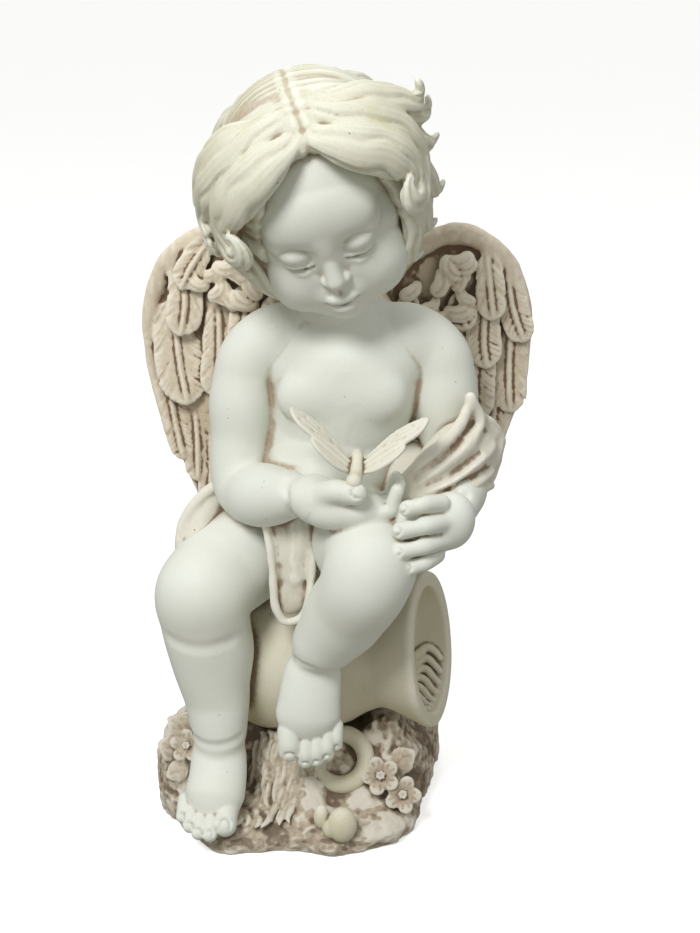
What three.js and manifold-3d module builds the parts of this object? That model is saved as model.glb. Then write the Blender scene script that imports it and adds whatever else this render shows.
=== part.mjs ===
// Seated putto with a butterfly: a garden statue cast in one piece.
// A winged child sits on a jar that lies on its side on a low rocky base, a butterfly on its
// right palm, its left hand on its left knee, and a cloth wound over one arm, the hips and the lap.
// Millimetres, +Z up. The figure faces -Y. The origin is on the flat underside of the base.
// Every soft form is a three.js sphere drawn out along a curve; manifold-3d joins them all.

import * as THREE from "three";
import { mergeVertices } from "three/addons/utils/BufferGeometryUtils.js";
import Module from "manifold-3d";

const wasm = await Module();
wasm.setup();

// ---- Driving dimensions ----

const WINGS = { x: 22.5, y: 41, reach: 112, sweep: 15, thick: 7, rise: 345, tip: 160 };
const HEAD = { at: [14, -15, 374], pitch: 28, roll: -15, yaw: 5 };
const HAIR = { centre: [0, 4, 6], radii: [52, 56.5, 62], waves: 8, carve: 0.03 };
const JAR = { at: [0, 22, 89], mouth: [79, -1, 101], belly: 49, rim: 46, wall: 6, foot: 22, hollow: 34 };
const HANDLE = { at: [24, -20, 38], ring: 15.4, bar: 4.6, slope: 46 };
const GROUND = { front: 15, terrace: 47, cradle: 8, mound: 12, dip: 4 };
const BASE_CENTRE = [0, 10];
const BASE_EDGE = [
  [84, 62], [83, 28], [75, -10], [69, -34], [57, -52], [41, -60], [21, -67], [0, -61], [-24, -63], [-48, -62],
  [-64, -43], [-78, -24], [-87, -2], [-85, 34], [-66, 66], [-30, 82], [10, 86], [54, 80],
];
const FINGER = 4.8;
const TOE = { big: 6, small: 3.1 };
const STONE = new THREE.MeshStandardMaterial({ color: 0xd9d6c8, roughness: 0.75, metalness: 0 });

// ---- Solids from three.js geometry ----

const vector = (p) => new THREE.Vector3(p[0], p[1], p[2]);
const euler = (angles, order) => new THREE.Euler(...angles.map(THREE.MathUtils.degToRad), order);

/** A frame turned by angles in degrees and moved to a point. */
function frameAt(at, angles, order = "XYZ") {
  return new THREE.Matrix4().makeRotationFromEuler(euler(angles, order)).setPosition(...at);
}

/** A closed geometry, moved by an optional frame, as a solid that can be joined and cut. */
function solid(geometry, frame) {
  if (frame) geometry.applyMatrix4(frame);
  geometry.deleteAttribute("normal");
  geometry.deleteAttribute("uv");
  const merged = mergeVertices(geometry, 1e-4);
  const vertProperties = merged.attributes.position.array;
  const triVerts = new Uint32Array(merged.index.array);
  return new wasm.Manifold(new wasm.Mesh({ numProp: 3, vertProperties, triVerts }));
}

const join = (solids) => solids.flat(Infinity).reduce((all, one) => all.add(one));

/** An ellipsoid at a point, turned by angles in degrees. */
function ball(at, radii, { turn = [0, 0, 0], sides = 8, frame } = {}) {
  const shape = new THREE.SphereGeometry(1, sides, Math.max(4, Math.round(sides * 0.6)));
  shape.scale(...radii);
  shape.applyMatrix4(frameAt(at, turn));
  return solid(shape, frame);
}

/**
 * A sphere drawn out along a smooth line through stations [x, y, z, radius]: a limb, finger, lock,
 * feather or fold. `flat` is its thickness over its width, `facing` the way its flat side looks, and
 * `round` adds a rounded end beyond the first and last stations.
 */
function limb(stations, { sides = 10, rings = 10, flat = 1, facing, round = false, frame } = {}) {
  const points = stations.map(vector);
  const widths = stations.map((s) => s[3]);
  if (round) {
    const last = points.length - 1;
    const startCap = points[0].clone().sub(points[1]).setLength(widths[0]);
    const endCap = points[last].clone().sub(points[last - 1]).setLength(widths[last]);
    points.unshift(points[0].clone().add(startCap));
    points.push(points[last + 1].clone().add(endCap));
    widths.unshift(widths[0]);
    widths.push(widths[last + 1]);
  }
  const line = new THREE.CatmullRomCurve3(points, false, "catmullrom");
  const size = new THREE.CatmullRomCurve3(widths.map((w) => new THREE.Vector3(w, 0, 0)), false, "catmullrom");
  const length = line.getLength();
  const shape = new THREE.SphereGeometry(1, sides, rings);
  const position = shape.attributes.position;
  const look = facing ?? leastAligned(line.getPoint(1).sub(line.getPoint(0)));
  for (let row = 0; row <= rings; row++) {
    const u = (1 - Math.cos((Math.PI * row) / rings)) / 2;
    const centre = line.getPointAt(u);
    const width = Math.max(size.getPoint(line.getUtoTmapping(u)).x, 0.01);
    const along = line.getTangentAt(u);
    const toward = typeof look === "function" ? look(centre) : vector(look);
    const across = toward.clone().cross(along).normalize();
    const out = along.clone().cross(across);
    const toEnd = Math.min(u, 1 - u) * length;
    const cap = toEnd < width ? Math.sqrt(Math.max(0, 1 - (1 - toEnd / width) ** 2)) : 1;
    for (let column = 0; column <= sides; column++) {
      const angle = (2 * Math.PI * column) / sides;
      const point = centre
        .clone()
        .addScaledVector(across, -Math.cos(angle) * width * cap)
        .addScaledVector(out, Math.sin(angle) * width * flat * cap);
      position.setXYZ(row * (sides + 1) + column, point.x, point.y, point.z);
    }
  }
  return solid(shape, frame);
}

/** The axis that a direction runs along least. */
function leastAligned(direction) {
  const size = direction.toArray().map(Math.abs);
  const least = size.indexOf(Math.min(...size));
  return [0, 1, 2].map((axis) => (axis === least ? 1 : 0));
}

/** A round limb of one radius through points, for folds and rims. */
const fold = (points, radius, rings = 6) =>
  limb(points.map((p) => [...p, radius]), { sides: 5, rings });

// ---- Base: a low rock with a flat underside, flowers, leaves and pebbles ----

const rise = (from, to, value) => THREE.MathUtils.smoothstep(value, from, to);

/** Height of the ground: low in front and under the foot, and up a bank to the terrace under the jar. */
function ground(x, y) {
  const left = 1 - rise(-70, -56, x);
  const aside = 24 * (1 - rise(-38, -12, x)) * (1 - left);
  const bank = rise(-44 + aside + 8 * left, -4 + aside - 6 * left, y);
  const mound = GROUND.mound * Math.exp(-((x - 3) ** 2 + (y + 31) ** 2) / 420);
  const cradle = GROUND.cradle * rise(34, 46, x) * (1 - rise(58, 70, x)) * rise(-24, -6, y);
  const dip = GROUND.dip * rise(54, 68, x) * (1 - rise(10, 40, y));
  const lumps = 1.6 * Math.sin(x / 9 + 1) * Math.cos(y / 8);
  return GROUND.front + (GROUND.terrace - GROUND.front) * bank + mound + cradle - dip + lumps;
}

function base() {
  const sides = 22;
  const rings = 9;
  const edge = new THREE.CatmullRomCurve3(BASE_EDGE.map(([x, y]) => vector([x, y, 0])), true);
  const shape = new THREE.SphereGeometry(1, sides, rings);
  const position = shape.attributes.position;
  for (let row = 0; row <= rings; row++) {
    const under = row - (rings - 2);
    const reach = under <= 0 ? (row / (rings - 2)) ** 0.85 : under === 1 ? 0.975 : 0;
    for (let column = 0; column <= sides; column++) {
      const rim = edge.getPoint(1 - column / sides);
      const x = BASE_CENTRE[0] + (rim.x - BASE_CENTRE[0]) * reach;
      const y = BASE_CENTRE[1] + (rim.y - BASE_CENTRE[1]) * reach;
      const z = under > 0 ? 0 : ground(x, y) * (1 - 0.5 * reach ** 12);
      position.setXYZ(row * (sides + 1) + column, x, y, z);
    }
  }
  return solid(shape);
}

/** A flower with five petals round a button, one reshaped sphere, tilted to the viewer. */
function flower(at, size, tilt) {
  const columns = 10;
  const profile = [
    [0, 0.32],
    [0.2, 0.28],
    [0.28, 0.08],
    [0.75, 0.24],
    [1, 0.06],
    [0, -0.5],
  ];
  const shape = new THREE.SphereGeometry(1, columns, profile.length - 1);
  const position = shape.attributes.position;
  profile.forEach(([radius, height], row) => {
    for (let column = 0; column <= columns; column++) {
      const angle = (2 * Math.PI * column) / columns;
      const petal = radius > 0.5 ? 0.66 + 0.38 * Math.abs(Math.cos(2.5 * angle)) : 1;
      const reach = size * radius * petal;
      const spot = [-reach * Math.cos(angle), -reach * Math.sin(angle), size * height];
      position.setXYZ(row * (columns + 1) + column, ...spot);
    }
  });
  return solid(shape, frameAt(at, [tilt, 0, 20]));
}

/** A pointed leaf lying on the bank. */
function leaf(from, to, width) {
  const mid = from.map((v, k) => (v + to[k]) / 2 + (k === 2 ? 2 : 0));
  const stations = [[...from, width * 0.5], [...mid, width], [...to, 1.5]];
  return limb(stations, { sides: 5, rings: 4, flat: 0.4, facing: [0, -0.7, 0.7] });
}

const plants = () => [
  flower([48, -26, 29.5], 10.5, 46),
  flower([61, -31, 21], 10.5, 52),
  flower([-67, -8, 39], 9.5, 46),
  leaf([54, -21, 27], [69, -17, 42], 8),
  leaf([-64, -4, 40], [-80, 0, 57], 8),
  leaf([-69, -10, 33], [-86, -6, 43], 8),
];

const pebbles = () => [
  ball([14, -57, 21], [5, 5, 8], { sides: 7 }),
  ball([24.5, -61, 18.5], [9, 7, 11], { sides: 8 }),
];

// ---- Jar on its side, hollow at the mouth, with its ring handle on the bank in front ----

function jar() {
  const axis = vector(JAR.mouth).sub(vector(JAR.at));
  const end = axis.length();
  const profile = [
    [0, -52],
    [JAR.foot, -51],
    [40, -38],
    [JAR.belly - 1, -18],
    [JAR.belly, 4],
    [JAR.belly - 5, 26],
    [37, 42],
    [35, 51],
    [JAR.rim - 5, end - 14],
    [JAR.rim, end - 3],
    [JAR.rim - 1.5, end],
    [JAR.rim - JAR.wall, end - 0.5],
    [JAR.rim - JAR.wall - 6, end - 12],
    [22, end - JAR.hollow + 8],
    [0, end - JAR.hollow],
  ].map(([radius, along]) => new THREE.Vector2(radius, along));
  const turn = new THREE.Quaternion().setFromUnitVectors(new THREE.Vector3(0, 1, 0), axis.normalize());
  const frame = new THREE.Matrix4().makeRotationFromQuaternion(turn).setPosition(...JAR.at);
  return solid(new THREE.LatheGeometry(profile, 15), frame);
}

function handle() {
  const ring = new THREE.TorusGeometry(HANDLE.ring, HANDLE.bar, 6, 13);
  return solid(ring, frameAt(HANDLE.at, [HANDLE.slope, 0, 0]));
}

// ---- Body and limbs ----

function torso() {
  const trunk = [
    [5, 20, 150, 30],
    [6, 20, 172, 41],
    [14, 11, 198, 40],
    [20, 7, 222, 38.5],
    [25, 7, 248, 39],
    [27, 8, 270, 42],
    [27, 9, 288, 40],
    [26, 9, 303, 24],
    [24, 6, 312, 17],
  ];
  return [
    limb(trunk, { sides: 11, rings: 10, flat: 0.74, facing: [0, -1, 0] }),
    ball([17, -4, 206], [33, 26, 29], { sides: 9 }),
    ball([27, -3, 262], [38, 20, 28], { sides: 9 }),
    limb([[26, 8, 300, 18], [21, 1, 320, 17], [17, -6, 334, 17]], { sides: 8, rings: 4 }),
  ];
}

function rightArm() {
  const arm = [
    [10, 10, 295, 15],
    [-12, 10, 290, 17],
    [-25.5, 9, 277, 18.2],
    [-30.5, 8, 258, 17.8],
    [-32.5, 4, 236, 16.6],
    [-33, -2, 214, 16.4],
    [-28, -10, 204, 17],
    [-14, -29, 208, 16.6],
    [-3, -41, 213, 13.6],
    [7, -50, 216, 11.8],
  ];
  return limb(arm, { sides: 9, rings: 11 });
}

function leftArm() {
  const arm = [
    [44, 10, 295, 15],
    [66, 10, 290, 17],
    [79.5, 9, 277, 18.4],
    [83.5, 8, 258, 17.8],
    [84, 7, 240, 16.6],
    [89, 4, 222, 16],
    [92, -3, 212, 16],
    [92, -20, 208, 15],
    [89, -36, 206, 13],
    [86, -48, 205, 12.6],
  ];
  return limb(arm, { sides: 9, rings: 11 });
}

/** A finger or toe through its root, knuckle and tip, with a round end. */
function digit(root, knuckle, tip, radius, rings = 5) {
  const stations = [[...root, radius * 1.05], [...knuckle, radius], [...tip, radius * 0.88]];
  return limb(stations, { sides: 5, rings, round: true });
}

/** The palm is up, the thumb in front, and the fingers curl up round the butterfly. */
function rightHand() {
  const fingers = [-63.5, -56, -48.5, -41.5].map((y, i) => {
    const bend = 1.5 - Math.abs(i - 1.3);
    return digit([38, y, 209.5], [51 + bend, y, 212], [55 + bend, y + 1, 223 + bend], FINGER * 0.8, 4);
  });
  return [
    ball([10, -52, 216], [15, 14, 12], { sides: 7 }),
    ball([28, -56, 210.5], [23, 15.5, 10.5], { turn: [0, -4, -6], sides: 9 }),
    digit([12, -60, 221], [22, -68, 225], [31, -71, 224.5], 6.8),
    fingers,
  ];
}

/** The hand lies over the outer side of the knee, its fingers across the front. */
function leftHand() {
  const fingers = [
    [[78, -66, 216], [68, -73, 218], [57, -74, 216.5], 0.85],
    [[81, -66, 207], [70, -74, 209], [54, -75, 206], 0.98],
    [[80, -66, 198], [69, -74, 199], [54.5, -75, 196], 0.92],
    [[76, -66, 189], [69, -72, 188.5], [61, -73, 187], 0.86],
  ];
  return [
    ball([84, -57, 204], [13.5, 13.5, 16], { turn: [0, 8, 15] }),
    ball([70, -62, 203], [17, 11, 16]),
    fingers.map(([root, knuckle, tip, size]) => digit(root, knuckle, tip, FINGER * size, 4)),
  ];
}

function rightLeg() {
  const leg = [
    [-12, 16, 168, 30],
    [-34, -2, 160, 29.5],
    [-52.5, -21, 148, 27.5],
    [-53, -25, 130, 25.5],
    [-50.5, -25, 105, 22.6],
    [-47.5, -26, 84, 19.4],
    [-46.5, -29, 70, 17.2],
    [-46, -31, 58, 15.4],
    [-46, -30, 46, 12],
  ];
  return [limb(leg, { sides: 10, rings: 12 }), ball([-54, -32, 149], [24, 22, 24], { sides: 7 })];
}

function leftLeg() {
  const leg = [
    [24, 16, 170, 30],
    [34, -22, 180, 28.5],
    [41.5, -56, 185, 25.3],
    [39, -65, 173, 24.4],
    [30.5, -54, 152, 22.8],
    [20.5, -46, 134, 20],
    [12, -41, 119, 17],
    [9, -39, 108, 15],
  ];
  return limb(leg, { sides: 10, rings: 12 });
}

/** Toes from a list of round tips, big toe first, all running back the same way. */
function toes(tips, back) {
  return tips.map((tip, i) => {
    const radius = i ? TOE.small - 0.06 * i : TOE.big;
    const mid = tip.map((v, k) => v + back[k] * 6);
    const root = tip.map((v, k) => v + back[k] * 13);
    return digit(root, mid, tip, radius, 4);
  });
}

function rightFoot() {
  const sole = [
    [-46, -22, 58, 14],
    [-46.5, -33, 48, 16],
    [-47, -41, 38, 16.8],
    [-49, -50, 28, 17.4],
    [-51.5, -60, 20, 14.5],
  ];
  const tips = [
    [-41.5, -63, 19.5],
    [-50, -68, 16.5],
    [-56.5, -66, 16.5],
    [-62, -62, 18.5],
    [-66.5, -56, 21],
  ];
  return [
    ball([-46, -20, 28], [14, 16, 16]),
    limb(sole, { sides: 9, rings: 7, flat: 0.72, facing: [0, -0.6, 0.8] }),
    toes(tips, [0.05, 0.8, 0.55]),
  ];
}

function leftFoot() {
  const sole = [
    [10, -36, 118, 14],
    [8.5, -40, 104, 16.5],
    [7, -43, 90, 17.6],
    [6, -44, 78, 18.6],
    [6.5, -45, 63, 17],
  ];
  const tips = [
    [-7, -48, 61],
    [3.5, -50, 54.5],
    [10, -50, 55.5],
    [16, -49, 58.5],
    [21.5, -47, 63.5],
  ];
  return [
    ball([8, -30, 92], [13, 12, 17]),
    limb(sole, { sides: 9, rings: 7, flat: 0.62, facing: [0, -1, 0.1] }),
    toes(tips, [0, 0.12, 1]),
  ];
}

// ---- Head: a calm child's face on plain proportions, under a cap of hair and locks ----

const headFrame = frameAt(HEAD.at, [HEAD.pitch, HEAD.roll, HEAD.yaw], "YXZ");

function head() {
  const part = (at, radii, sides = 6) => ball(at, radii, { sides, frame: headFrame });
  const pair = (make) => [make(-1), make(1)];
  return [
    part([0, 1, 11], [43, 48, 42], 10),
    part([0, -15, -13], [40, 34, 40], 10),
    part([0, -35, -44], [10, 10, 8.5], 6),
    part([0, -47, -19], [5, 7.5, 9], 5),
    pair((side) => part([side * 15, -40, -6], [9, 8, 6.5])),
    part([0, -44.5, -34], [8, 6, 4.2], 5),
  ];
}

/** A point over the hair, from longitude (0 at the face), latitude and height above the cap. */
function onHair([lon, lat, lift]) {
  const a = THREE.MathUtils.degToRad(lon);
  const b = THREE.MathUtils.degToRad(lat);
  const way = [Math.sin(a) * Math.cos(b), -Math.cos(a) * Math.cos(b), Math.sin(b)];
  return way.map((w, k) => HAIR.centre[k] + w * (HAIR.radii[k] + lift));
}

/** A lock from the parting to its curled tip, lying flat on the head. */
function lock({ path, width }) {
  const last = path.length - 1;
  const stations = path.map((p, i) => [...onHair(p), width * (0.6 + 0.55 * Math.sin((2.6 * i) / last))]);
  const outward = (point) => point.clone().sub(vector(HAIR.centre));
  return limb(stations, { sides: 4, rings: 5, flat: 0.6, facing: outward, frame: headFrame });
}

/** The locks that frame the face: [longitude, latitude, lift] from the parting to the tip. */
const FACE_LOCKS = [
  { width: 9, path: [[2, 64, 0], [-9, 48, 1], [-27, 34, 3], [-52, 24, 4], [-68, 12, 6], [-58, 3, 5]] },
  { width: 9, path: [[-32, 66, -2], [-50, 50, 0], [-70, 27, 1], [-82, 4, 5], [-76, -10, 8]] },
  { width: 9, path: [[-80, 56, -2], [-90, 38, -1], [-94, 16, 2], [-92, 4, 9], [-86, -3, 15]] },
  { width: 9, path: [[-80, -2, 0], [-72, -17, 4], [-63, -27, 9], [-54, -33, 9], [-45, -39, 6]] },
  { width: 9, path: [[3, 60, 0], [6, 40, 1], [20, 26, 4], [37, 20, 5], [45, 9, 6], [37, 3, 4]] },
  { width: 8, path: [[22, 66, 0], [38, 46, 1], [54, 26, 3], [63, 4, 6], [55, -7, 4]] },
  { width: 10, path: [[66, 62, -2], [70, 50, 0], [80, 28, 3], [88, 9, 10], [95, 15, 19]] },
  { width: 10, path: [[60, 16, 1], [74, 0, 4], [78, -9, 8], [82, -4, 13]] },
  { width: 10, path: [[52, -2, 1], [54, -22, 4], [59, -31, 9], [66, -26, 12], [72, -17, 10]] },
  { width: 8, path: [[60, -14, 1], [52, -33, 5], [46, -39, 11], [54, -33, 14]] },
];

/** The cap of hair, carved in plain waves that run from the crown round the back to the nape. */
function hairCap() {
  const columns = HAIR.waves * 3;
  const shape = new THREE.SphereGeometry(1, columns, 8);
  const position = shape.attributes.position;
  for (let i = 0; i < position.count; i++) {
    const spot = new THREE.Vector3().fromBufferAttribute(position, i).applyEuler(euler([90, 0, 90]));
    const turn = HAIR.waves * Math.atan2(spot.x, -spot.y) + 1.5 * Math.sin(4 * spot.z);
    const carve = 1 + HAIR.carve * Math.cos(turn) * Math.sqrt(1 - Math.min(1, spot.z ** 2));
    const point = HAIR.centre.map((c, k) => c + spot.getComponent(k) * HAIR.radii[k] * carve);
    position.setXYZ(i, ...point);
  }
  return solid(shape, headFrame);
}

function hair() {
  const face = ball([0, -50, -22], [47, 47, 76], { sides: 12, frame: headFrame });
  const nape = ball([0, 22, -24], [36, 26, 30], { sides: 7, frame: headFrame });
  return [hairCap().subtract(face), nape, FACE_LOCKS.map(lock)];
}

// ---- Wings: a curved plate under three rows of feathers, mirrored about the back ----

/** A point on a wing: distance out from the back, height, and how far it stands forward. */
function onWing(side, out, up, forward = 0) {
  const bend = WINGS.sweep * (out / WINGS.reach) ** 1.5;
  return [WINGS.x + side * out, WINGS.y + bend - forward, up];
}

function wingPlate(side) {
  const edge = new THREE.CatmullRomCurve3(
    [
      [14, 300], [38, 332], [70, WINGS.rise], [97, 326], [WINGS.reach, 293], [109, 248],
      [97, 212], [85, 180], [74, WINGS.tip], [60, 178], [42, 212], [20, 246],
    ].map(([out, up]) => new THREE.Vector3(out, up, 0)),
    true,
  );
  const outline = new THREE.Shape(edge.getPoints(20).slice(0, -1).map((p) => new THREE.Vector2(p.x, p.y)));
  const shape = new THREE.ExtrudeGeometry(outline, { depth: WINGS.thick, bevelEnabled: false });
  const position = shape.attributes.position;
  for (let i = 0; i < position.count; i++) {
    const forward = (position.getZ(i) - WINGS.thick / 2) * side;
    position.setXYZ(i, ...onWing(side, position.getX(i), position.getY(i), forward));
  }
  return solid(shape);
}

/** Rows of feathers from tip to root: the first and last root as [out, up], and how far the tips hang. */
const FEATHER_ROWS = [
  { count: 3, first: [58, 236], last: [90, 242], hang: 60, width: 11, forward: 4.5 },
  { count: 3, first: [48, 274], last: [97, 280], hang: 60, width: 14, forward: 6.5 },
  { count: 3, first: [42, 312], last: [95, 318], hang: 46, width: 14, forward: 9 },
];

function feathers(side) {
  return FEATHER_ROWS.flatMap(({ count, first, last, hang, width, forward }) =>
    Array.from({ length: count }, (_, i) => {
      const t = i / (count - 1);
      const out = first[0] + (last[0] - first[0]) * t;
      const up = first[1] + (last[1] - first[1]) * t + 8 * Math.sin(Math.PI * t);
      const stations = [0, 0.5, 1].map((s) => [
        ...onWing(side, out - 7 * s * t, up - hang * s, forward - 3 * (1 - s)),
        width * (1 - 0.15 * s),
      ]);
      return limb(stations, { sides: 4, rings: 4, flat: 0.4, facing: [0, -1, 0] });
    }),
  );
}

/** The root of a wing, sunk into the shoulder blade. */
const wingRoot = (side) => ball(onWing(side, 22, 284, 8), [16, 13, 26], { sides: 7 });

const wings = () => [-1, 1].map((side) => [wingRoot(side), wingPlate(side), feathers(side)]);

// ---- Cloth: over the left arm, round the hips and hanging in the lap ----

function armCloth() {
  const swag = [
    [54, -40, 214, 9],
    [76, -36, 222, 14],
    [94, -15, 228, 20],
    [101, 4, 231, 22],
    [98, 18, 230, 20],
  ];
  return [
    limb(swag, { sides: 8, rings: 6, flat: 0.5, facing: [0.6, -1, 0] }),
    ball([64, 4, 204], [32, 20, 24]),
    fold([[56, -44, 222], [80, -40, 217], [102, -16, 207], [110, -2, 208]], 3.2),
    fold([[60, -42, 222], [78, -36, 233], [92, -16, 247], [99, -4, 254]], 3),
    fold([[98, -4, 254], [110, 0, 238], [111, 0, 224], [110, -2, 208]], 3.2, 5),
  ];
}

function hipCloth() {
  const back = [
    [10, 44, 186, 44],
    [8, 64, 150, 44],
    [6, 74, 116, 36],
    [4, 76, 92, 22],
  ];
  const outside = [
    [-34, 28, 190, 13],
    [-52, 10, 185, 13],
    [-60, -4, 170, 11],
    [-61, -12, 158, 5],
  ];
  return [
    ball([10, 34, 174], [52, 27, 32], { sides: 9 }),
    limb(back, { sides: 9, rings: 6, flat: 0.3, facing: [0, 1, 0.4] }),
    limb(outside, { sides: 7, rings: 5, flat: 0.5, facing: [-1, 0, 0.5] }),
    fold([[-42, 18, 199], [-57, 4, 190], [-63, -7, 172], [-63, -15, 158]], 2.8),
  ];
}

function lapCloth() {
  const flap = [
    [8, -18, 208, 26],
    [2, -28, 186, 19],
    [-3, -32, 164, 13],
    [-4, -33, 148, 12],
    [-4, -34, 137, 9],
  ];
  return [
    limb(flap, { sides: 8, rings: 7, flat: 0.4, facing: [0, -1, 0.3] }),
    fold([[14, -30, 200], [8, -36, 182], [8, -38, 162], [4, -38, 146], [-5, -37, 138]], 2.6),
    fold([[-18, -28, 192], [-16, -35, 170], [-13, -37, 150], [-5, -37, 138]], 2.5),
  ];
}

// ---- Butterfly on the palm ----

function butterfly() {
  const wing = (side, tip, width) => {
    const root = [33.5 + side, -63, 234];
    const mid = root.map((v, k) => (v + tip[k]) / 2);
    const stations = [[...root, width * 0.6], [...mid, width], [...tip, width * 0.4]];
    return limb(stations, { sides: 6, rings: 5, flat: 0.2, facing: [-side * 0.62, -0.3, 0.75] });
  };
  const body = [
    [34, -51, 240, 3.4],
    [33.5, -60, 237, 4.4],
    [32, -70, 230, 4.8],
  ];
  const wings = [wing(-1, [-2, -58, 265.5], 9.5), wing(1, [72, -58, 259.5], 9.5)];
  return [limb(body, { sides: 7, rings: 6 }), wings];
}

// ---- The casting ----

const casting = join([
  base(), plants(), pebbles(), jar(), handle(),
  torso(), rightArm(), leftArm(), rightHand(), leftHand(),
  rightLeg(), leftLeg(), rightFoot(), leftFoot(),
  head(), hair(), wings(), armCloth(), hipCloth(), lapCloth(), butterfly(),
]);

/** A solid's surface as a three.js mesh. */
function meshOf(made, name, material) {
  const { vertProperties, triVerts } = made.getMesh();
  const geometry = new THREE.BufferGeometry()
    .setAttribute("position", new THREE.BufferAttribute(vertProperties, 3))
    .setIndex(new THREE.BufferAttribute(triVerts, 1));
  geometry.computeVertexNormals();
  const mesh = new THREE.Mesh(geometry, material);
  mesh.name = name;
  return mesh;
}

const statue = new THREE.Group();
statue.name = "statue";
statue.add(meshOf(casting, "putto_statue", STONE));

export default statue;
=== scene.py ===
"""A cast-stone child with wings, seated on a jar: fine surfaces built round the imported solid.

Every form starts as closed meshes: limbs along curves, ellipsoids, plates and turned solids. They
become signed distances on one shared lattice, are blended, cut and carved there, and are meshed
again. Lengths are drawing millimetres until piece(). The figure faces -Y and +Z is up.
"""

import math

import bpy
import numpy as np
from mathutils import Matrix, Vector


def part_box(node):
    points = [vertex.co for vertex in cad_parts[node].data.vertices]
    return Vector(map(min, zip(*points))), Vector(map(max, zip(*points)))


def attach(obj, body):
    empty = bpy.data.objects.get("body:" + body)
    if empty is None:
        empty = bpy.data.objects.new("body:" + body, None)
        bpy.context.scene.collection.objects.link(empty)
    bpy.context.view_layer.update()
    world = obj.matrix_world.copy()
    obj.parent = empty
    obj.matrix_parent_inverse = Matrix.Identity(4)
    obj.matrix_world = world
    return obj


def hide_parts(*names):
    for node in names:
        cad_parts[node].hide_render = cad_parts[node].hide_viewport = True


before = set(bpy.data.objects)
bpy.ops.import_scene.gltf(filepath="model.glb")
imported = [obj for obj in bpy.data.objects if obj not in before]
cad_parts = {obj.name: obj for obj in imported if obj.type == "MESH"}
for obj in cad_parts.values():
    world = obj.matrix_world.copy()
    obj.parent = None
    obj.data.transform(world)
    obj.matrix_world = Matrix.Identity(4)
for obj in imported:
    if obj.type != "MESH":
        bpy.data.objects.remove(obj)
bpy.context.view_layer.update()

import openvdb as vdb

LOW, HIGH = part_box("putto_statue")
DRAWN_HEIGHT = 441.1
MM = (HIGH.z - LOW.z) / DRAWN_HEIGHT

STEP = 0.8
BAND = 7.0
SEED = 11

# ---------------------------------------------------------------- curves and frames


def unit(v):
    """Vectors scaled to length one along their last axis."""
    v = np.asarray(v, float)
    return v / np.maximum(np.linalg.norm(v, axis=-1, keepdims=True), 1e-9)


def rise(start, end, value):
    """Smooth step from 0 at start to 1 at end."""
    t = np.clip((np.asarray(value, float) - start) / (end - start), 0, 1)
    return t * t * (3 - 2 * t)


def rotation(angles, order="XYZ"):
    """A rotation matrix from angles in degrees, the first named axis applied last."""
    made = np.eye(3)
    for axis in order:
        a = math.radians(angles["XYZ".index(axis)])
        c, s = math.cos(a), math.sin(a)
        turn = {
            "X": [[1, 0, 0], [0, c, -s], [0, s, c]],
            "Y": [[c, 0, s], [0, 1, 0], [-s, 0, c]],
            "Z": [[c, -s, 0], [s, c, 0], [0, 0, 1]],
        }[axis]
        made = made @ np.array(turn)
    return made


def curve(stations, at=None, count=40, closed=False):
    """Rows of a smooth curve through stations, at shares of its length, and that length."""
    p = np.asarray(stations, float)
    if closed:
        p = np.vstack([p[-1:], p, p[:2]])
    else:
        p = np.vstack([2 * p[:1] - p[1:2], p, 2 * p[-1:] - p[-2:-1]])
    t = np.linspace(0, 1, 25)[:-1, None]
    rows = []
    for a, b, c, d in zip(p, p[1:], p[2:], p[3:]):
        rows.append(b + 0.5 * t * (c - a + t * (2 * a - 5 * b + 4 * c - d + t * (3 * (b - c) + d - a))))
    dense = np.vstack(rows + [p[-2:-1]])
    gone = np.linalg.norm(np.diff(dense[:, :3], axis=0), axis=1)
    gone = np.concatenate([[0], np.cumsum(gone)])
    share = np.linspace(0, 1, count) if at is None else np.asarray(at)
    made = [np.interp(share * gone[-1], gone, dense[:, k]) for k in range(dense.shape[1])]
    return np.stack(made, 1), gone[-1]


# ---------------------------------------------------------------- closed meshes


def tube_faces(rings, sides):
    """Faces of a tube of rings closed by a pole at each end, the poles being the last two points."""
    ring = np.arange(rings * sides).reshape(rings, sides)
    nxt = np.roll(ring, -1, axis=1)
    quads = np.stack([ring[:-1], nxt[:-1], nxt[1:], ring[1:]], -1).reshape(-1, 4)
    first, last = rings * sides, rings * sides + 1
    start = np.stack([np.full(sides, first), nxt[0], ring[0]], 1)
    end = np.stack([np.full(sides, last), ring[-1], nxt[-1]], 1)
    return np.vstack([start, end]), quads


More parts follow.
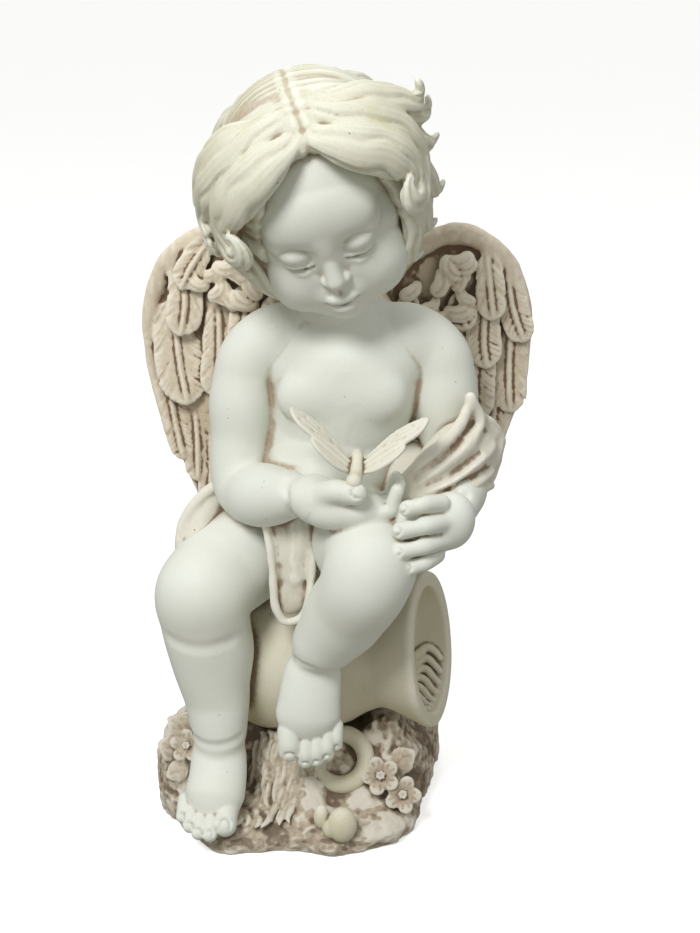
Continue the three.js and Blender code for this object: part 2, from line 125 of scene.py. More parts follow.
def limb(stations, flat=1.0, facing=None, round_ends=False, relief=None, sides=0, place=None, raised=None):
    """A sphere drawn out along a curve through [x, y, z, radius]: closed points, triangles, quads.

    relief(along, angle, width) scales the cross-section, raised(along, across, width) lifts the
    facing side; `place` is (rotation, shift).
    """
    p = np.asarray(stations, float)
    if round_ends:
        start = p[0, :3] + unit(p[0, :3] - p[1, :3]) * p[0, 3]
        end = p[-1, :3] + unit(p[-1, :3] - p[-2, :3]) * p[-1, 3]
        p = np.vstack([[*start, p[0, 3]], p, [*end, p[-1, 3]]])
    span = np.linalg.norm(np.diff(p[:, :3], axis=0), axis=1).sum()
    widest = p[:, 3].max()
    rings = int(np.clip(span * 1.3 / STEP, 20, 160))
    sides = sides or int(np.clip(2 * math.pi * widest / STEP, 20, 120))
    u = (1 - np.cos(np.linspace(0, math.pi, rings + 1))) / 2
    line, length = curve(p, at=u)
    centre, width = line[:, :3], np.maximum(line[:, 3], 0.01)
    along = unit(np.gradient(centre, axis=0))
    if facing is None:
        whole = np.abs(p[-1, :3] - p[0, :3])
        look = np.tile(np.eye(3)[int(whole.argmin())], (len(u), 1))
    elif callable(facing):
        look = facing(centre)
    else:
        look = np.tile(np.asarray(facing, float), (len(u), 1))
    across = unit(np.cross(look, along))
    out = np.cross(along, across)
    to_end = np.minimum(u, 1 - u) * length
    cap = np.where(to_end < width, np.sqrt(np.clip(1 - (1 - to_end / width) ** 2, 0, 1)), 1)
    angle = np.linspace(0, 2 * math.pi, sides, endpoint=False)
    scale = (width * cap)[:, None] * np.ones(sides)
    if relief is not None:
        scale = scale * relief((u * length)[:, None], angle[None, :], width[:, None])
    x = -np.cos(angle) * scale
    y = np.sin(angle) * scale * flat
    if raised is not None:
        lift = raised((u * length)[:, None], x, width[:, None])
        y = y + lift * rise(0.05, 0.5, np.sin(angle)) * cap[:, None]
    points = centre[:, None] + across[:, None] * x[..., None] + out[:, None] * y[..., None]
    points = np.vstack([points[1:-1].reshape(-1, 3), centre[:1], centre[-1:]])
    if place is not None:
        points = points @ place[0].T + place[1]
    tris, quads = tube_faces(rings - 1, sides)
    return points, tris, quads


def ball(at, radii, turn=(0, 0, 0), place=None):
    """A closed ellipsoid."""
    sides = int(np.clip(2 * math.pi * max(radii) / STEP, 16, 110))
    rings = max(8, sides // 2)
    v = np.linspace(0, math.pi, rings + 1)[1:-1, None]
    a = np.linspace(0, 2 * math.pi, sides, endpoint=False)[None, :]
    grid = np.stack([np.sin(v) * np.cos(a), np.sin(v) * np.sin(a), np.cos(v) * np.ones_like(a)], -1)
    points = np.vstack([grid.reshape(-1, 3), [[0, 0, 1], [0, 0, -1]]])
    points = (points * radii) @ rotation(turn).T + at
    if place is not None:
        points = points @ place[0].T + place[1]
    tris, quads = tube_faces(rings - 1, sides)
    return points, tris, quads


def lathe(profile, place, dents):
    """A closed solid of revolution from rows [radius, along], the first and last on the axis."""
    sides = 150
    line, _ = curve([[r, h, 0] for r, h in profile], count=170)
    a = np.linspace(0, 2 * math.pi, sides, endpoint=False)
    r = np.maximum(line[1:-1, 0:1], 0.05)
    h = line[1:-1, 1:2]
    grid = np.stack([r * np.cos(a), h * np.ones_like(a), r * np.sin(a)], -1)
    ends = [[0, line[0, 1], 0], [0, line[-1, 1], 0]]
    points = np.vstack([grid.reshape(-1, 3), ends])
    points = dents(points) @ place[0].T + place[1]
    tris, quads = tube_faces(len(line) - 2, sides)
    return points, tris, quads


def ring(place, radius, bar):
    """A closed torus in its own XY plane."""
    n, m = 90, 28
    a = np.linspace(0, 2 * math.pi, n, endpoint=False)[:, None]
    b = np.linspace(0, 2 * math.pi, m, endpoint=False)[None, :]
    reach = radius + bar * np.cos(b)
    grid = np.stack([reach * np.cos(a), reach * np.sin(a), bar * np.sin(b) + 0 * a], -1)
    index = np.arange(n * m).reshape(n, m)
    down, side = np.roll(index, -1, 0), np.roll(index, -1, 1)
    both = np.roll(down, -1, 1)
    quads = np.stack([index, down, both, side], -1).reshape(-1, 4)
    points = grid.reshape(-1, 3) @ place[0].T + place[1]
    return points, np.zeros((0, 3), int), quads


# ---------------------------------------------------------------- forms on the lattice


def distances(mesh, reach=BAND):
    """Signed distances of a closed mesh out to a reach, and where their block starts on the lattice."""
    points, tris, quads = mesh
    grid = vdb.FloatGrid.createLevelSetFromPolygons(
        np.ascontiguousarray(points, np.float32),
        triangles=np.ascontiguousarray(tris, np.uint32),
        quads=np.ascontiguousarray(quads, np.uint32),
        transform=vdb.createLinearTransform(STEP),
        halfWidth=reach / STEP,
    )
    low, high = (np.array(c) for c in grid.evalActiveVoxelBoundingBox())
    block = np.empty(high - low + 1, np.float32)
    grid.copyToArray(block, ijk=tuple(int(c) for c in low))
    if reach < BAND:
        block[block > reach - 0.01] = BAND
        block[block < 0.01 - reach] = -BAND
    return low, block


class Form:
    """A shape as signed distances, negative inside, on a block of the shared lattice."""

    def __init__(self, low, high):
        self.start = np.floor(np.array(low) / STEP).astype(int)
        end = np.ceil(np.array(high) / STEP).astype(int)
        self.d = np.full(end - self.start + 1, BAND, np.float32)

    def window(self, low, shape):
        """The parts of this form's block and of another that cover the same lattice points."""
        a = np.maximum(low, self.start)
        b = np.minimum(low + shape, self.start + self.d.shape)
        if np.any(b <= a):
            return None, None
        mine = tuple(slice(i, j) for i, j in zip(a - self.start, b - self.start))
        other = tuple(slice(i, j) for i, j in zip(a - low, b - low))
        return mine, other

    def add(self, mesh, blend=0.0):
        """Joins a closed mesh, or another form, with a soft seam of the given width."""
        reach = BAND if blend > 1 else max(3.2 * STEP, blend + 1)
        low, block = (mesh.start, mesh.d) if isinstance(mesh, Form) else distances(mesh, reach)
        mine, other = self.window(low, block.shape)
        if mine is None:
            return self
        a, b = self.d[mine], block[other]
        least = np.minimum(a, b)
        if blend:
            near = np.maximum(a, b) < BAND - 0.01
            h = np.clip(1 - np.abs(a - b) / blend, 0, 1) * near
            least = least - h * h * (blend / 4)
        self.d[mine] = least
        return self

    def cut(self, mesh, blend=0.0):
        """Takes a closed mesh away, with a soft edge of the given width."""
        low, block = (mesh.start, mesh.d) if isinstance(mesh, Form) else distances(mesh)
        mine, other = self.window(low, block.shape)
        if mine is None:
            return self
        a, b = self.d[mine], -block[other]
        most = np.maximum(a, b)
        if blend:
            near = np.minimum(a, b) > 0.01 - BAND
            h = np.clip(1 - np.abs(a - b) / blend, 0, 1) * near
            most = most + h * h * (blend / 4)
        self.d[mine] = most
        return self

    def at(self, points, values=None):
        """Values at points, read between lattice points; the distances unless others are given."""
        d = self.d if values is None else values
        q = np.asarray(points) / STEP - self.start
        q = np.clip(q, 0, np.array(d.shape) - 1.001)
        i = q.astype(int)
        f = q - i
        total = 0
        for k in range(8):
            o = np.array([k & 1, k >> 1 & 1, k >> 2 & 1])
            w = np.prod(np.where(o, f, 1 - f), axis=1)
            total = total + w * d[tuple((i + o).T)]
        return total

    def normals(self, points, reach=1.0):
        """Outward directions at points."""
        p = np.asarray(points, float)
        slopes = []
        for k in range(3):
            o = np.eye(3)[k] * reach
            slopes.append(self.at(p + o) - self.at(p - o))
        return unit(np.stack(slopes, 1))

    def soften(self, passes=2):
        """Rounds small seams."""
        for _ in range(passes):
            self.d = boxes(self.d, 1)
        return self

    def snap(self, points, height=0.0, passes=6):
        """Points moved to lie at a height over the surface."""
        p = np.array(points, float)
        for _ in range(passes):
            away = self.at(p[:, :3]) - height
            p[:, :3] -= np.clip(away, -3, 3)[:, None] * self.normals(p[:, :3])
        return p

    def groove(self, points, width, depth, blend=1.2):
        """Carves a rounded furrow along points laid on the surface, thinning to its ends."""
        line, _ = curve(self.snap(points), count=12)
        line = self.snap(line, width - depth)
        taper = np.sin(np.linspace(0.12, math.pi - 0.12, len(line))) ** 0.5
        line = self.snap(line, 0) + self.normals(line) * (width - depth * taper)[:, None]
        return self.cut(limb(np.column_stack([line, np.full(len(line), width)])), blend)

    def carve(self, relief, near=4.0):
        """Raises the surface by a height from a function of points."""
        spots = np.argwhere(np.abs(self.d) < near)
        self.d[tuple(spots.T)] -= relief((spots + self.start) * STEP).astype(np.float32)
        return self

    def flatten(self):
        """Cuts away whatever lies below the ground plane."""
        depth = -(self.start[2] + np.arange(self.d.shape[2])) * STEP
        self.d = np.maximum(self.d, depth.astype(np.float32))
        return self

    def ridge(self, points, radius, lift, blend):
        """Lays a rounded fold along points on the surface, thinning to its ends."""
        line, _ = curve(self.snap(points), count=14)
        line = self.snap(line, lift)
        taper = 0.35 + 0.65 * np.sin(np.linspace(0.05, math.pi - 0.05, len(line))) ** 0.6
        return self.add(limb(np.column_stack([line, radius * taper])), blend)


def boxes(d, cells):
    """Mean over a cube of lattice points, 2 * cells + 1 wide."""
    for axis in range(3):
        pad = [(0, 0)] * 3
        pad[axis] = (cells + 1, cells)
        total = np.cumsum(np.pad(d, pad, mode="edge"), axis=axis, dtype=np.float32)
        n = d.shape[axis]
        ahead = np.take(total, np.arange(2 * cells + 1, 2 * cells + 1 + n), axis=axis)
        behind = np.take(total, np.arange(n), axis=axis)
        d = (ahead - behind) / (2 * cells + 1)
    return d


# ---------------------------------------------------------------- noise on points


def noise(points, size, seed=0):
    """Smooth random values about -1 to 1 at points, with features of one size."""
    rng = np.random.default_rng(SEED + seed)
    table = rng.uniform(-1, 1, 4096).astype(np.float32)
    q = np.asarray(points, float) / size + rng.uniform(0, 50, 3)
    i = np.floor(q).astype(np.int64)
    f = q - i
    f = f * f * (3 - 2 * f)
    total = 0
    for k in range(8):
        o = np.array([k & 1, k >> 1 & 1, k >> 2 & 1])
        c = i + o
        spot = (c[:, 0] * 73856093 ^ c[:, 1] * 19349663 ^ c[:, 2] * 83492791) & 4095
        total = total + np.prod(np.where(o, f, 1 - f), axis=1) * table[spot]
    return total


def rough(points, size, layers=3, seed=0):
    """Noise of several sizes, each half the last."""
    return sum(noise(points, size / 2**k, seed + k) / 2**k for k in range(layers))


# ---------------------------------------------------------------- the body


def trunk_form():
    """Chest, belly, shoulders and neck of a chubby child."""
    body = Form((-60, -50, 110), (110, 70, 350))
    trunk = [
        [5, 20, 150, 30],
        [6, 20, 172, 41],
        [14, 11, 198, 40],
        [20, 7, 222, 38.5],
        [25, 7, 248, 39],
        [27, 8, 270, 42],
        [27, 9, 288, 40],
        [26, 9, 303, 24],
        [24, 6, 312, 17],
    ]
    body.add(limb(trunk, flat=0.74, facing=[0, -1, 0]))
    body.add(ball([17, -4, 206], [33, 26, 29]), 12)
    body.add(ball([27, -3, 262], [38, 22, 30]), 12)
    body.add(ball([8, -15, 262], [18, 10, 15], (0, -12, 8)), 8)
    body.add(ball([44, -15, 263], [17, 10, 15], (0, 12, -8)), 8)
    body.add(ball([-10, 5, 286], [16, 15, 17]), 14)
    body.add(ball([63, 5, 287], [17, 15, 17]), 14)
    body.add(ball([26, 10, 300], [34, 15, 13]), 10)
    body.add(limb([[26, 8, 296, 19], [21, 1, 318, 17.5], [17, -6, 340, 17.5]]), 9)
    body.add(ball([2, 34, 282], [17, 9, 20]), 10)
    body.add(ball([50, 34, 282], [17, 9, 20]), 10)
    return body


RIGHT_ARM = [
    [10, 10, 295, 15],
    [-12, 10, 290, 17],
    [-25.5, 9, 277, 18.2],
    [-30.5, 8, 258, 17.8],
    [-32.5, 4, 236, 16.6],
    [-33, -2, 214, 16.4],
    [-28, -10, 204, 17],
    [-14, -29, 208, 16.6],
    [-3, -41, 213, 13.6],
    [7, -50, 216, 11.8],
]
LEFT_ARM = [
    [44, 10, 295, 15],
    [66, 10, 290, 17],
    [79.5, 9, 277, 18.4],
    [83.5, 8, 258, 17.8],
    [84, 7, 240, 16.6],
    [89, 4, 222, 16],
    [92, -3, 212, 16],
    [92, -20, 208, 15],
    [89, -36, 206, 13],
    [86, -48, 205, 12.6],
]
RIGHT_LEG = [
    [-12, 16, 168, 30],
    [-34, -2, 160, 29.5],
    [-52.5, -21, 148, 27.5],
    [-53, -25, 130, 25.5],
    [-50.5, -25, 105, 22.6],
    [-47.5, -26, 84, 19.4],
    [-46.5, -29, 70, 17.2],
    [-46, -31, 58, 15.4],
    [-46, -30, 46, 13],
]
LEFT_LEG = [
    [24, 16, 170, 30],
    [34, -22, 180, 28.5],
    [41.5, -56, 185, 25.3],
    [39, -65, 173, 24.4],
    [30.5, -54, 152, 22.8],
    [20.5, -46, 134, 20],
    [12, -41, 119, 17],
    [9, -39, 108, 15],
]
FINGER = 4.8


def digit(root, knuckle, tip, radius, plump=1.0):
    """A finger or toe with a slightly fuller tip."""
    mid = [(a + b) / 2 for a, b in zip(knuckle, tip)]
    stations = [
        [*root, radius * 1.08],
        [*knuckle, radius * 1.0],
        [*mid, radius * 0.93 * plump],
        [*tip, radius * 0.93 * plump],
    ]
    return limb(stations, round_ends=True)


def nail(form, tip, way, up, radius):
    """A small nail: a furrow round three sides of an oval on the upper side of a tip."""
    way, up = unit(way), unit(up)
    side = unit(np.cross(up, way))
    up = np.cross(way, side)
    at = np.array(tip) + up * radius * 0.8
    shape = [(0.56, 0.75), (0.58, 0.2), (0.36, -0.3), (0, -0.45), (-0.36, -0.3), (-0.58, 0.2), (-0.56, 0.75)]
    path = [at + radius * (a * side + b * way) for a, b in shape]
    form.groove(path, 0.9, 1.15, 0.3)


def right_hand_form():
    """Palm up, thumb in front, fingers curled up behind the butterfly."""
    hand = Form((-12, -90, 185), (75, -25, 245))
    hand.add(ball([10, -52, 216], [15, 14, 12]))
    hand.add(ball([27, -56, 210.5], [23, 15.5, 10.5], (0, -4, -6)), 6)
    hand.add(ball([16, -62, 214], [12, 8, 10], (0, 0, -20)), 6)
    for i, y in enumerate([-63.5, -56, -48.5, -41.5]):
        bend = 1.5 - abs(i - 1.3)
        hand.add(
            digit([36, y, 209], [51 + bend, y, 212], [55 + bend, y + 1, 223 + bend], FINGER * 0.82), 1.6
        )
    hand.add(digit([12, -60, 219], [22, -68, 224.5], [33, -71.5, 224.5], 6.6), 3)
    nail(hand, [34, -72, 224.5], [1, -0.2, 0], [0.1, -0.85, 0.5], 6)
    return hand


LEFT_FINGERS = [
    ([78, -66, 217], [69, -74, 219.5], [60, -76, 218.0], 1.0),
    ([81, -66, 207], [71, -75, 208.5], [57, -77, 206.0], 1.1),
    ([80, -66, 197], [70, -75, 197.0], [57.5, -77, 194.5], 1.06),
    ([76, -66, 188], [70, -73, 186.5], [63, -75, 184.5], 1.0),
]


def left_hand_form():
    """The back of the hand on the outer side of the knee, fingers across the front."""
    hand = Form((35, -95, 170), (115, -30, 235))
    hand.add(ball([84, -57, 204], [13.5, 13.5, 16], (0, 8, 15)))
    hand.add(ball([70, -62, 203], [17, 11, 16]), 6)
    for root, knuckle, tip, size in LEFT_FINGERS:
        radius = FINGER * size
        hand.add(digit(root, knuckle, tip, radius), 1.4)
    for root, knuckle, tip, size in LEFT_FINGERS:
        radius = FINGER * size
        nail(hand, np.array(tip) + [-radius * 0.35, 0, 0], [-1, 0.25, -0.1], [-0.3, -1, 0.25], radius)
    return hand


def foot_form(sole, heel, tips, back, facing, flat, low, high):
    """A chubby foot with five round toes, big toe first."""
    foot = Form(low, high)
    foot.add(ball(*heel))
    foot.add(limb(sole, flat=flat, facing=facing), 8)
    back = unit(back)
    for i, tip in enumerate(tips):
        radius = 6.6 if i == 0 else 4.5 - 0.15 * i
        tip = np.array(tip, float)
        root = tip + back * 11 - unit(facing) * 1.2
        mid = tip + back * 5 + unit(facing) * 0.8
        foot.add(digit(root.tolist(), mid.tolist(), tip.tolist(), radius, 1.08), 1.0)
    for i, tip in enumerate(tips):
        radius = 6.6 if i == 0 else 4.5 - 0.15 * i
        end = np.array(tip, float) - back * radius * 0.3
        nail(foot, end, -back, np.asarray(facing, float) + 0.15 * back, radius)
    return foot


def right_foot_form():
    sole = [
        [-46, -22, 60, 14],
        [-46.5, -33, 48, 16],
        [-47, -41, 38, 16.8],
        [-49, -50, 28, 17.4],
        [-51.5, -59, 20.5, 15.5],
    ]
    tips = [[-41.5, -63, 19.5], [-50, -68, 16.5], [-56.5, -66, 16.5], [-62, -62, 18.5], [-66.5, -56, 21]]
    return foot_form(
        sole, ([-46, -20, 28], [14, 16, 16]), tips, [0.05, 0.8, 0.55], [0, -0.6, 0.8], 0.72,
        (-80, -85, 2), (-22, 5, 75),
    )


def left_foot_form():
    sole = [
        [10, -36, 120, 14],
        [8.5, -40, 104, 16.5],
        [7, -43, 90, 17.6],
        [6, -44, 78, 18.6],
        [6.5, -45, 64, 17.4],
    ]
    tips = [[-4.5, -49, 60], [4.5, -51, 54.5], [11, -51, 55.5], [17, -50, 58.5], [22, -47, 63]]
    return foot_form(
        sole, ([8, -30, 92], [13, 12, 17]), tips, [0, 0.12, 1], [0, -1, 0.1], 0.62,
        (-25, -70, 40), (40, -8, 135),
    )


# Rotation and shift of the head with its hair, and of the face.
HEAD_PLACE = (rotation((28, -15, 5), "YXZ"), np.array([14.0, -15.0, 374.0]))
FACE_PLACE = (rotation((29, -17, -4), "YXZ"), HEAD_PLACE[1])


def on_face(points):
    """Points given in the face's own frame, in the statue's."""
    return np.asarray(points, float) @ FACE_PLACE[0].T + FACE_PLACE[1]


def head_form():
    """A calm infant's face: eyes below the middle of the head and one eye apart, full cheeks."""
    form = Form((-50, -90, 292), (84, 50, 440))

    def blob(at, radii, blend=6.0, turn=(0, 0, 0)):
        form.add(ball(at, radii, turn, FACE_PLACE), blend)

    def dip(at, radii, blend):
        form.cut(ball(at, radii, place=FACE_PLACE), blend)

    def strip(rows, blend):
        form.add(limb(rows, round_ends=True, place=FACE_PLACE), blend)

    blob([0, 1, 11], [43, 48, 42])
    blob([0, -14, -17], [39, 33, 41], 14)
    blob([0, -38, 10], [27, 9, 15], 12)
    for side in (-1, 1):
        blob([side * 20, -32, -30], [16, 14, 17], 12)
    blob([0, -36, -47], [13, 10, 9], 10)
    for side in (-1, 1):
        dip([side * 16, -53, -3], [10, 7.5, 6.5], 8)
    for side in (-1, 1):
        blob([side * 16, -38.3, -5], [8.8, 8.4, 7.4], 1.2)
        blob([side * 16, -39.2, -3.2], [9.4, 8.4, 6.4], 0.8, (0, -5 * side, 0))
    form.soften(1)
    for side in (-1, 1):
        lash = [[side * 7.0, -43.8, -7.4], [side * 11.5, -47.2, -9.2], [side * 17, -47.6, -9.8],
                [side * 21.5, -45.2, -8.8], [side * 25, -41, -5.8]]
        below = np.array(lash) - [0, 0, 1.9]
        form.groove(on_face(below), 1.2, 1.4, 0.4)
        form.ridge(on_face(lash), 0.9, 0.3, 0.8)
        low_lid = [[side * 9, -43.4, -11.6], [side * 14, -45.4, -14.0], [side * 20, -44, -13.0]]
        form.ridge(on_face(low_lid), 1.3, -0.6, 2.0)
        crease = [[side * 8, -43.4, 1.0], [side * 14, -45.4, 3.4], [side * 20, -44.4, 3.0],
            [side * 25, -40.4, -0.8]]
        form.groove(on_face(crease), 1.1, 0.6, 1.0)
    strip([[0, -44.5, 4, 4.0], [0, -46, -4, 3.7], [0, -49, -12, 4.0], [0, -51.2, -18.8, 4.9]], 5)
    for side in (-1, 1):
        blob([side * 4.8, -48, -20.2], [3.2, 3.7, 3.0], 1.8)
        dip([side * 2.7, -51, -23.4], [1.6, 2.2, 1.2], 0.6)
    blob([0, -44.5, -33.5], [11, 6, 9], 7)
    strip([[-9.5, -46, -34.2, 1.2], [-4.6, -50.2, -31.6, 2.7], [0, -51, -32.4, 2.4],
        [4.6, -50.2, -31.6, 2.7],
           [9.5, -46, -34.2, 1.2]], 1.2)
    strip([[-7, -46.8, -36.8, 1.8], [-2.8, -49.4, -38.6, 3.2], [2.8, -49.4, -38.6, 3.2],
        [7, -46.8, -36.8, 1.8]], 1.4)
    mouth = [[-10.5, -45.6, -34.4], [-5, -50.6, -34.8], [0, -51.6, -35.4], [5, -50.6, -34.8],
        [10.5, -45.6, -34.4]]
    form.groove(on_face(mouth), 0.9, 1.4, 0.5)
    form.groove(on_face([[0, -51, -25.6], [0, -51, -29.4]]), 1.4, 0.7, 1.0)
    form.groove(on_face([[-5, -46, -42.6], [0, -46, -43.6], [5, -46, -42.6]]), 2.2, 0.9, 2.0)
    return form


def skin_form():
    """The child without hair, wings or cloth, in one blended surface."""
    body = Form((-92, -92, 4), (122, 52, 440))
    body.add(trunk_form())
    body.add(limb(RIGHT_LEG), 6)
    body.add(ball([-53, -31, 150], [24, 22, 24]), 9)
    body.add(ball([-44, -22, 112], [17, 19, 24]), 8)
    body.add(limb(LEFT_LEG), 5)
    body.add(ball([41, -63, 182], [22, 20, 20]), 8)
    body.add(ball([27, -47, 146], [19, 19, 22]), 8)
    body.add(limb(RIGHT_ARM), 4)
    body.add(ball([-31, 3, 250], [17, 16, 22]), 6)
    body.add(ball([-19, -22, 206], [18, 16, 16]), 6)
    body.add(limb(LEFT_ARM), 4)
    body.add(ball([84, 5, 254], [17, 16, 22]), 6)
    body.soften()
    body.add(right_hand_form(), 3)
    body.add(left_hand_form(), 2)
    body.add(right_foot_form(), 4)
    body.add(left_foot_form(), 4)
    body.add(head_form(), 5)
    creases = [
        ([[-58, -30, 64], [-47, -46, 61], [-36, -36, 64]], 2.6, 1.1),
        ([[-2, -48, 117], [8, -57, 114], [20, -50, 118]], 2.6, 1.2),
        ([[-6, -50, 228], [-2, -57, 216], [0, -52, 204]], 1.8, 0.8),
        ([[94, -42, 214], [88, -48, 206], [90, -44, 196]], 1.8, 0.8),
        ([[26, -30, 296], [26, -33, 290], [26, -32, 284]], 3.0, 1.2),
        ([[-72, -38, 128], [-54, -60, 124], [-36, -40, 128]], 4.5, 0.4),
        ([[4, -24, 232], [22, -30, 228], [42, -26, 232]], 3.6, 0.8),
        ([[66, -75, 226], [67, -68, 206], [66, -73, 188]], 2.0, 0.3),
    ]
    for points, width, depth in creases:
        body.groove(points, width, depth, 3)
    return body


# ---------------------------------------------------------------- hair

HAIR_CENTRE = np.array([0.0, 4.0, 6.0])
HAIR_RADII = np.array([51.0, 55.5, 60.5])
LOCK_FLAT = 0.62
LOCK_TIP = 0.3


def over_hair(path):
    """Points over the hair from rows of longitude (0 at the face), latitude and lift."""
    p = np.asarray(path, float)
    a, b = np.radians(p[:, 0]), np.radians(p[:, 1])
    way = np.stack([np.sin(a) * np.cos(b), -np.cos(a) * np.cos(b), np.sin(b)], 1)
    return HAIR_CENTRE + way * (HAIR_RADII + p[:, 2:3])


def strands(main, fine, depth, seed):
    """Cross-section relief of a few deep furrows and finer ones between, wandering along a lock."""
    a, b, c = np.random.default_rng(SEED + 900 + seed).uniform(0, 6, 3)

    def relief(along, angle, width):
        bend = 0.35 * np.sin(along / 8 + a) + 0.25 * np.sin(along / 3.7 + b)
        deep = (1 - np.abs(np.sin(main * angle / 2 + bend + c))) ** 2.0
        thin = (1 - np.abs(np.sin(fine * angle / 2 + 1.6 * bend + b))) ** 1.5
        share = 0.6 + 0.4 * np.sin(2 * angle + along / 11 + a)
        return 1 - depth / np.maximum(width, 3) * (deep + 0.42 * thin * share)

    return relief


def lock(points, width, seed):
    """A lock of hair through points in the head's frame, broad in the middle, with a narrow end."""
    share = np.linspace(0, 1, len(points))
    body = (0.4 + 0.6 * rise(0, 0.4, share)) * (1 - (1 - LOCK_TIP) * rise(0.6, 1, share))
    stations = np.column_stack([points, width * body])
    relief = strands(int(4 + seed % 3), int(round(width * 1.6)), 2.4, seed)
    return limb(
        stations,
        flat=LOCK_FLAT,
        facing=lambda p: unit(p - HAIR_CENTRE),
        relief=relief,
        sides=110,
        place=HEAD_PLACE,
    )


def evenly(path, count):
    """A path over the hair resampled to a number of points."""
    line, _ = curve(over_hair(path), count=count)
    return line


LOCKS = [
    (13, [[-3, 60, -8], [-13, 54, -2], [-26, 46, 3], [-40, 36, 6], [-52, 24, 8], [-60, 13, 9],
        [-58, 5, 11], [-47, 5, 12]]),
    (12.5, [[-8, 72, -8], [-30, 66, -2], [-50, 52, 2], [-65, 36, 5], [-76, 22, 7], [-84, 10, 9],
        [-86, 1, 12], [-78, -3, 14]]),
    (11, [[-40, 66, -6], [-68, 52, 1], [-82, 36, 4], [-91, 20, 7], [-96, 9, 11], [-94, 2, 14]]),
    (8.5, [[-42, 28, -3], [-58, 16, 3], [-68, 3, 6], [-69, -10, 8], [-62, -18, 9], [-54, -15, 10]]),
    (9.5, [[-70, 22, -3], [-79, 5, 4], [-81, -12, 6], [-74, -26, 8], [-62, -31, 9]]),
    (9.5, [[-62, 2, -3], [-66, -14, 3], [-61, -30, 6], [-50, -40, 8], [-40, -39, 9]]),
    (9.0, [[-84, -2, -3], [-84, -20, 3], [-75, -36, 5], [-61, -45, 5]]),
    (9.5, [[-100, 40, -5], [-104, 18, 2], [-102, -4, 5], [-96, -20, 8], [-86, -28, 10]]),
    (9.5, [[-112, 30, -5], [-116, 6, 2], [-112, -18, 5], [-102, -36, 6], [-90, -44, 6]]),
    (12, [[-124, 56, -5], [-130, 26, 1], [-134, -6, 3], [-130, -34, 4], [-122, -52, 3]]),
    (12, [[-144, 58, -5], [-148, 24, 1], [-150, -10, 3], [-152, -38, 4], [-146, -58, 3]]),
    (12, [[-164, 56, -5], [-168, 20, 1], [-170, -14, 3], [-168, -42, 4], [-160, -62, 3]]),
    (13, [[3, 60, -8], [10, 54, -2], [20, 46, 3], [32, 37, 6], [44, 27, 8], [51, 16, 9],
        [48, 8, 11], [37, 9, 12]]),
    (12, [[12, 72, -8], [30, 65, -2], [46, 51, 2], [58, 37, 5], [66, 23, 7], [67, 11, 8],
        [60, 2, 10], [52, 4, 12]]),
    (11, [[34, 74, -6], [56, 61, -1], [70, 47, 4], [79, 34, 8], [85, 25, 13], [88, 24, 19], [87, 30, 23]]),
    (9.0, [[50, 58, -5], [68, 42, 1], [80, 28, 6], [87, 17, 11], [91, 14, 17], [92, 19, 21]]),
    (8.5, [[56, 36, -4], [70, 22, 3], [79, 10, 7], [85, 3, 12], [88, 4, 18]]),
    (8.5, [[60, 22, -3], [69, 6, 4], [73, -8, 8], [78, -17, 13], [83, -15, 17]]),
    (8.5, [[54, 12, -3], [60, -5, 4], [62, -20, 7], [66, -30, 11], [73, -28, 15]]),
    (8.5, [[54, -2, -3], [55, -20, 3], [51, -34, 7], [54, -42, 11], [61, -40, 14]]),
    (8.0, [[-66, 14, 6], [-64, 3, 9], [-56, -2, 12], [-48, 2, 14], [-48, 9, 15], [-54, 10, 15]]),
    (8.0, [[56, 16, 6], [56, 6, 9], [49, 2, 12], [41, 5, 14], [41, 12, 15], [46, 14, 15]]),
    (8.0, [[-88, 10, 5], [-90, -2, 8], [-86, -10, 12], [-79, -10, 14], [-78, -4, 14]]),
    (9.0, [[80, 10, -3], [82, -10, 3], [76, -26, 7], [66, -38, 9]]),
    (9.0, [[92, 20, -4], [94, -2, 3], [88, -22, 6], [76, -38, 7], [64, -46, 6]]),
    (9.5, [[108, 36, -5], [110, 10, 2], [106, -14, 5], [96, -34, 7], [84, -44, 7]]),
    (12, [[122, 56, -5], [128, 26, 1], [132, -6, 3], [128, -34, 4], [120, -52, 3]]),
    (12, [[142, 58, -5], [147, 24, 1], [150, -10, 3], [148, -38, 4], [142, -58, 3]]),
    (12, [[162, 56, -5], [166, 20, 1], [168, -14, 3], [172, -42, 4], [176, -62, 3]]),
]


def combed(points):
    """Height of the combed cap: strands that run from the parting to the ears, and the parting's groove."""
    p = (points - HEAD_PLACE[1]) @ HEAD_PLACE[0]
    q = (p - HAIR_CENTRE) / HAIR_RADII
    aside = np.arcsin(np.clip(np.abs(q[:, 0]), 0, 1))
    turn = np.arctan2(-q[:, 1], q[:, 2]) + 0.2 * aside**2
    laid = np.stack([turn * 55, aside * 5.5, 60 * np.sign(q[:, 0])], 1)
    grow = rise(0.05, 0.7, aside)
    broad = 1.6 * noise(laid, 9.5, 61) * grow
    middle = 2.2 * np.abs(noise(laid, 5.2, 62)) * (0.45 + 0.55 * grow)
    fine = 0.8 * np.abs(noise(laid, 2.3, 63)) * (1 - rise(0.9, 1.2, aside))
    far = np.abs(p[:, 0] - 0.6 * np.sin(p[:, 2] / 7))
    upper = rise(-0.7, -0.3, turn) * rise(-0.1, 0.1, q[:, 2])
    parting = upper * (0.5 * np.exp(-(((far - 3.2) / 2.2) ** 2)) - 0.8 * np.exp(-((far / 1.2) ** 2)))
    laid_hair = (broad + middle + fine - 0.9) * rise(-0.5, 0, q[:, 2] + 0.4)
    return laid_hair * (1 - rise(0.85, 1.15, aside)) + parting


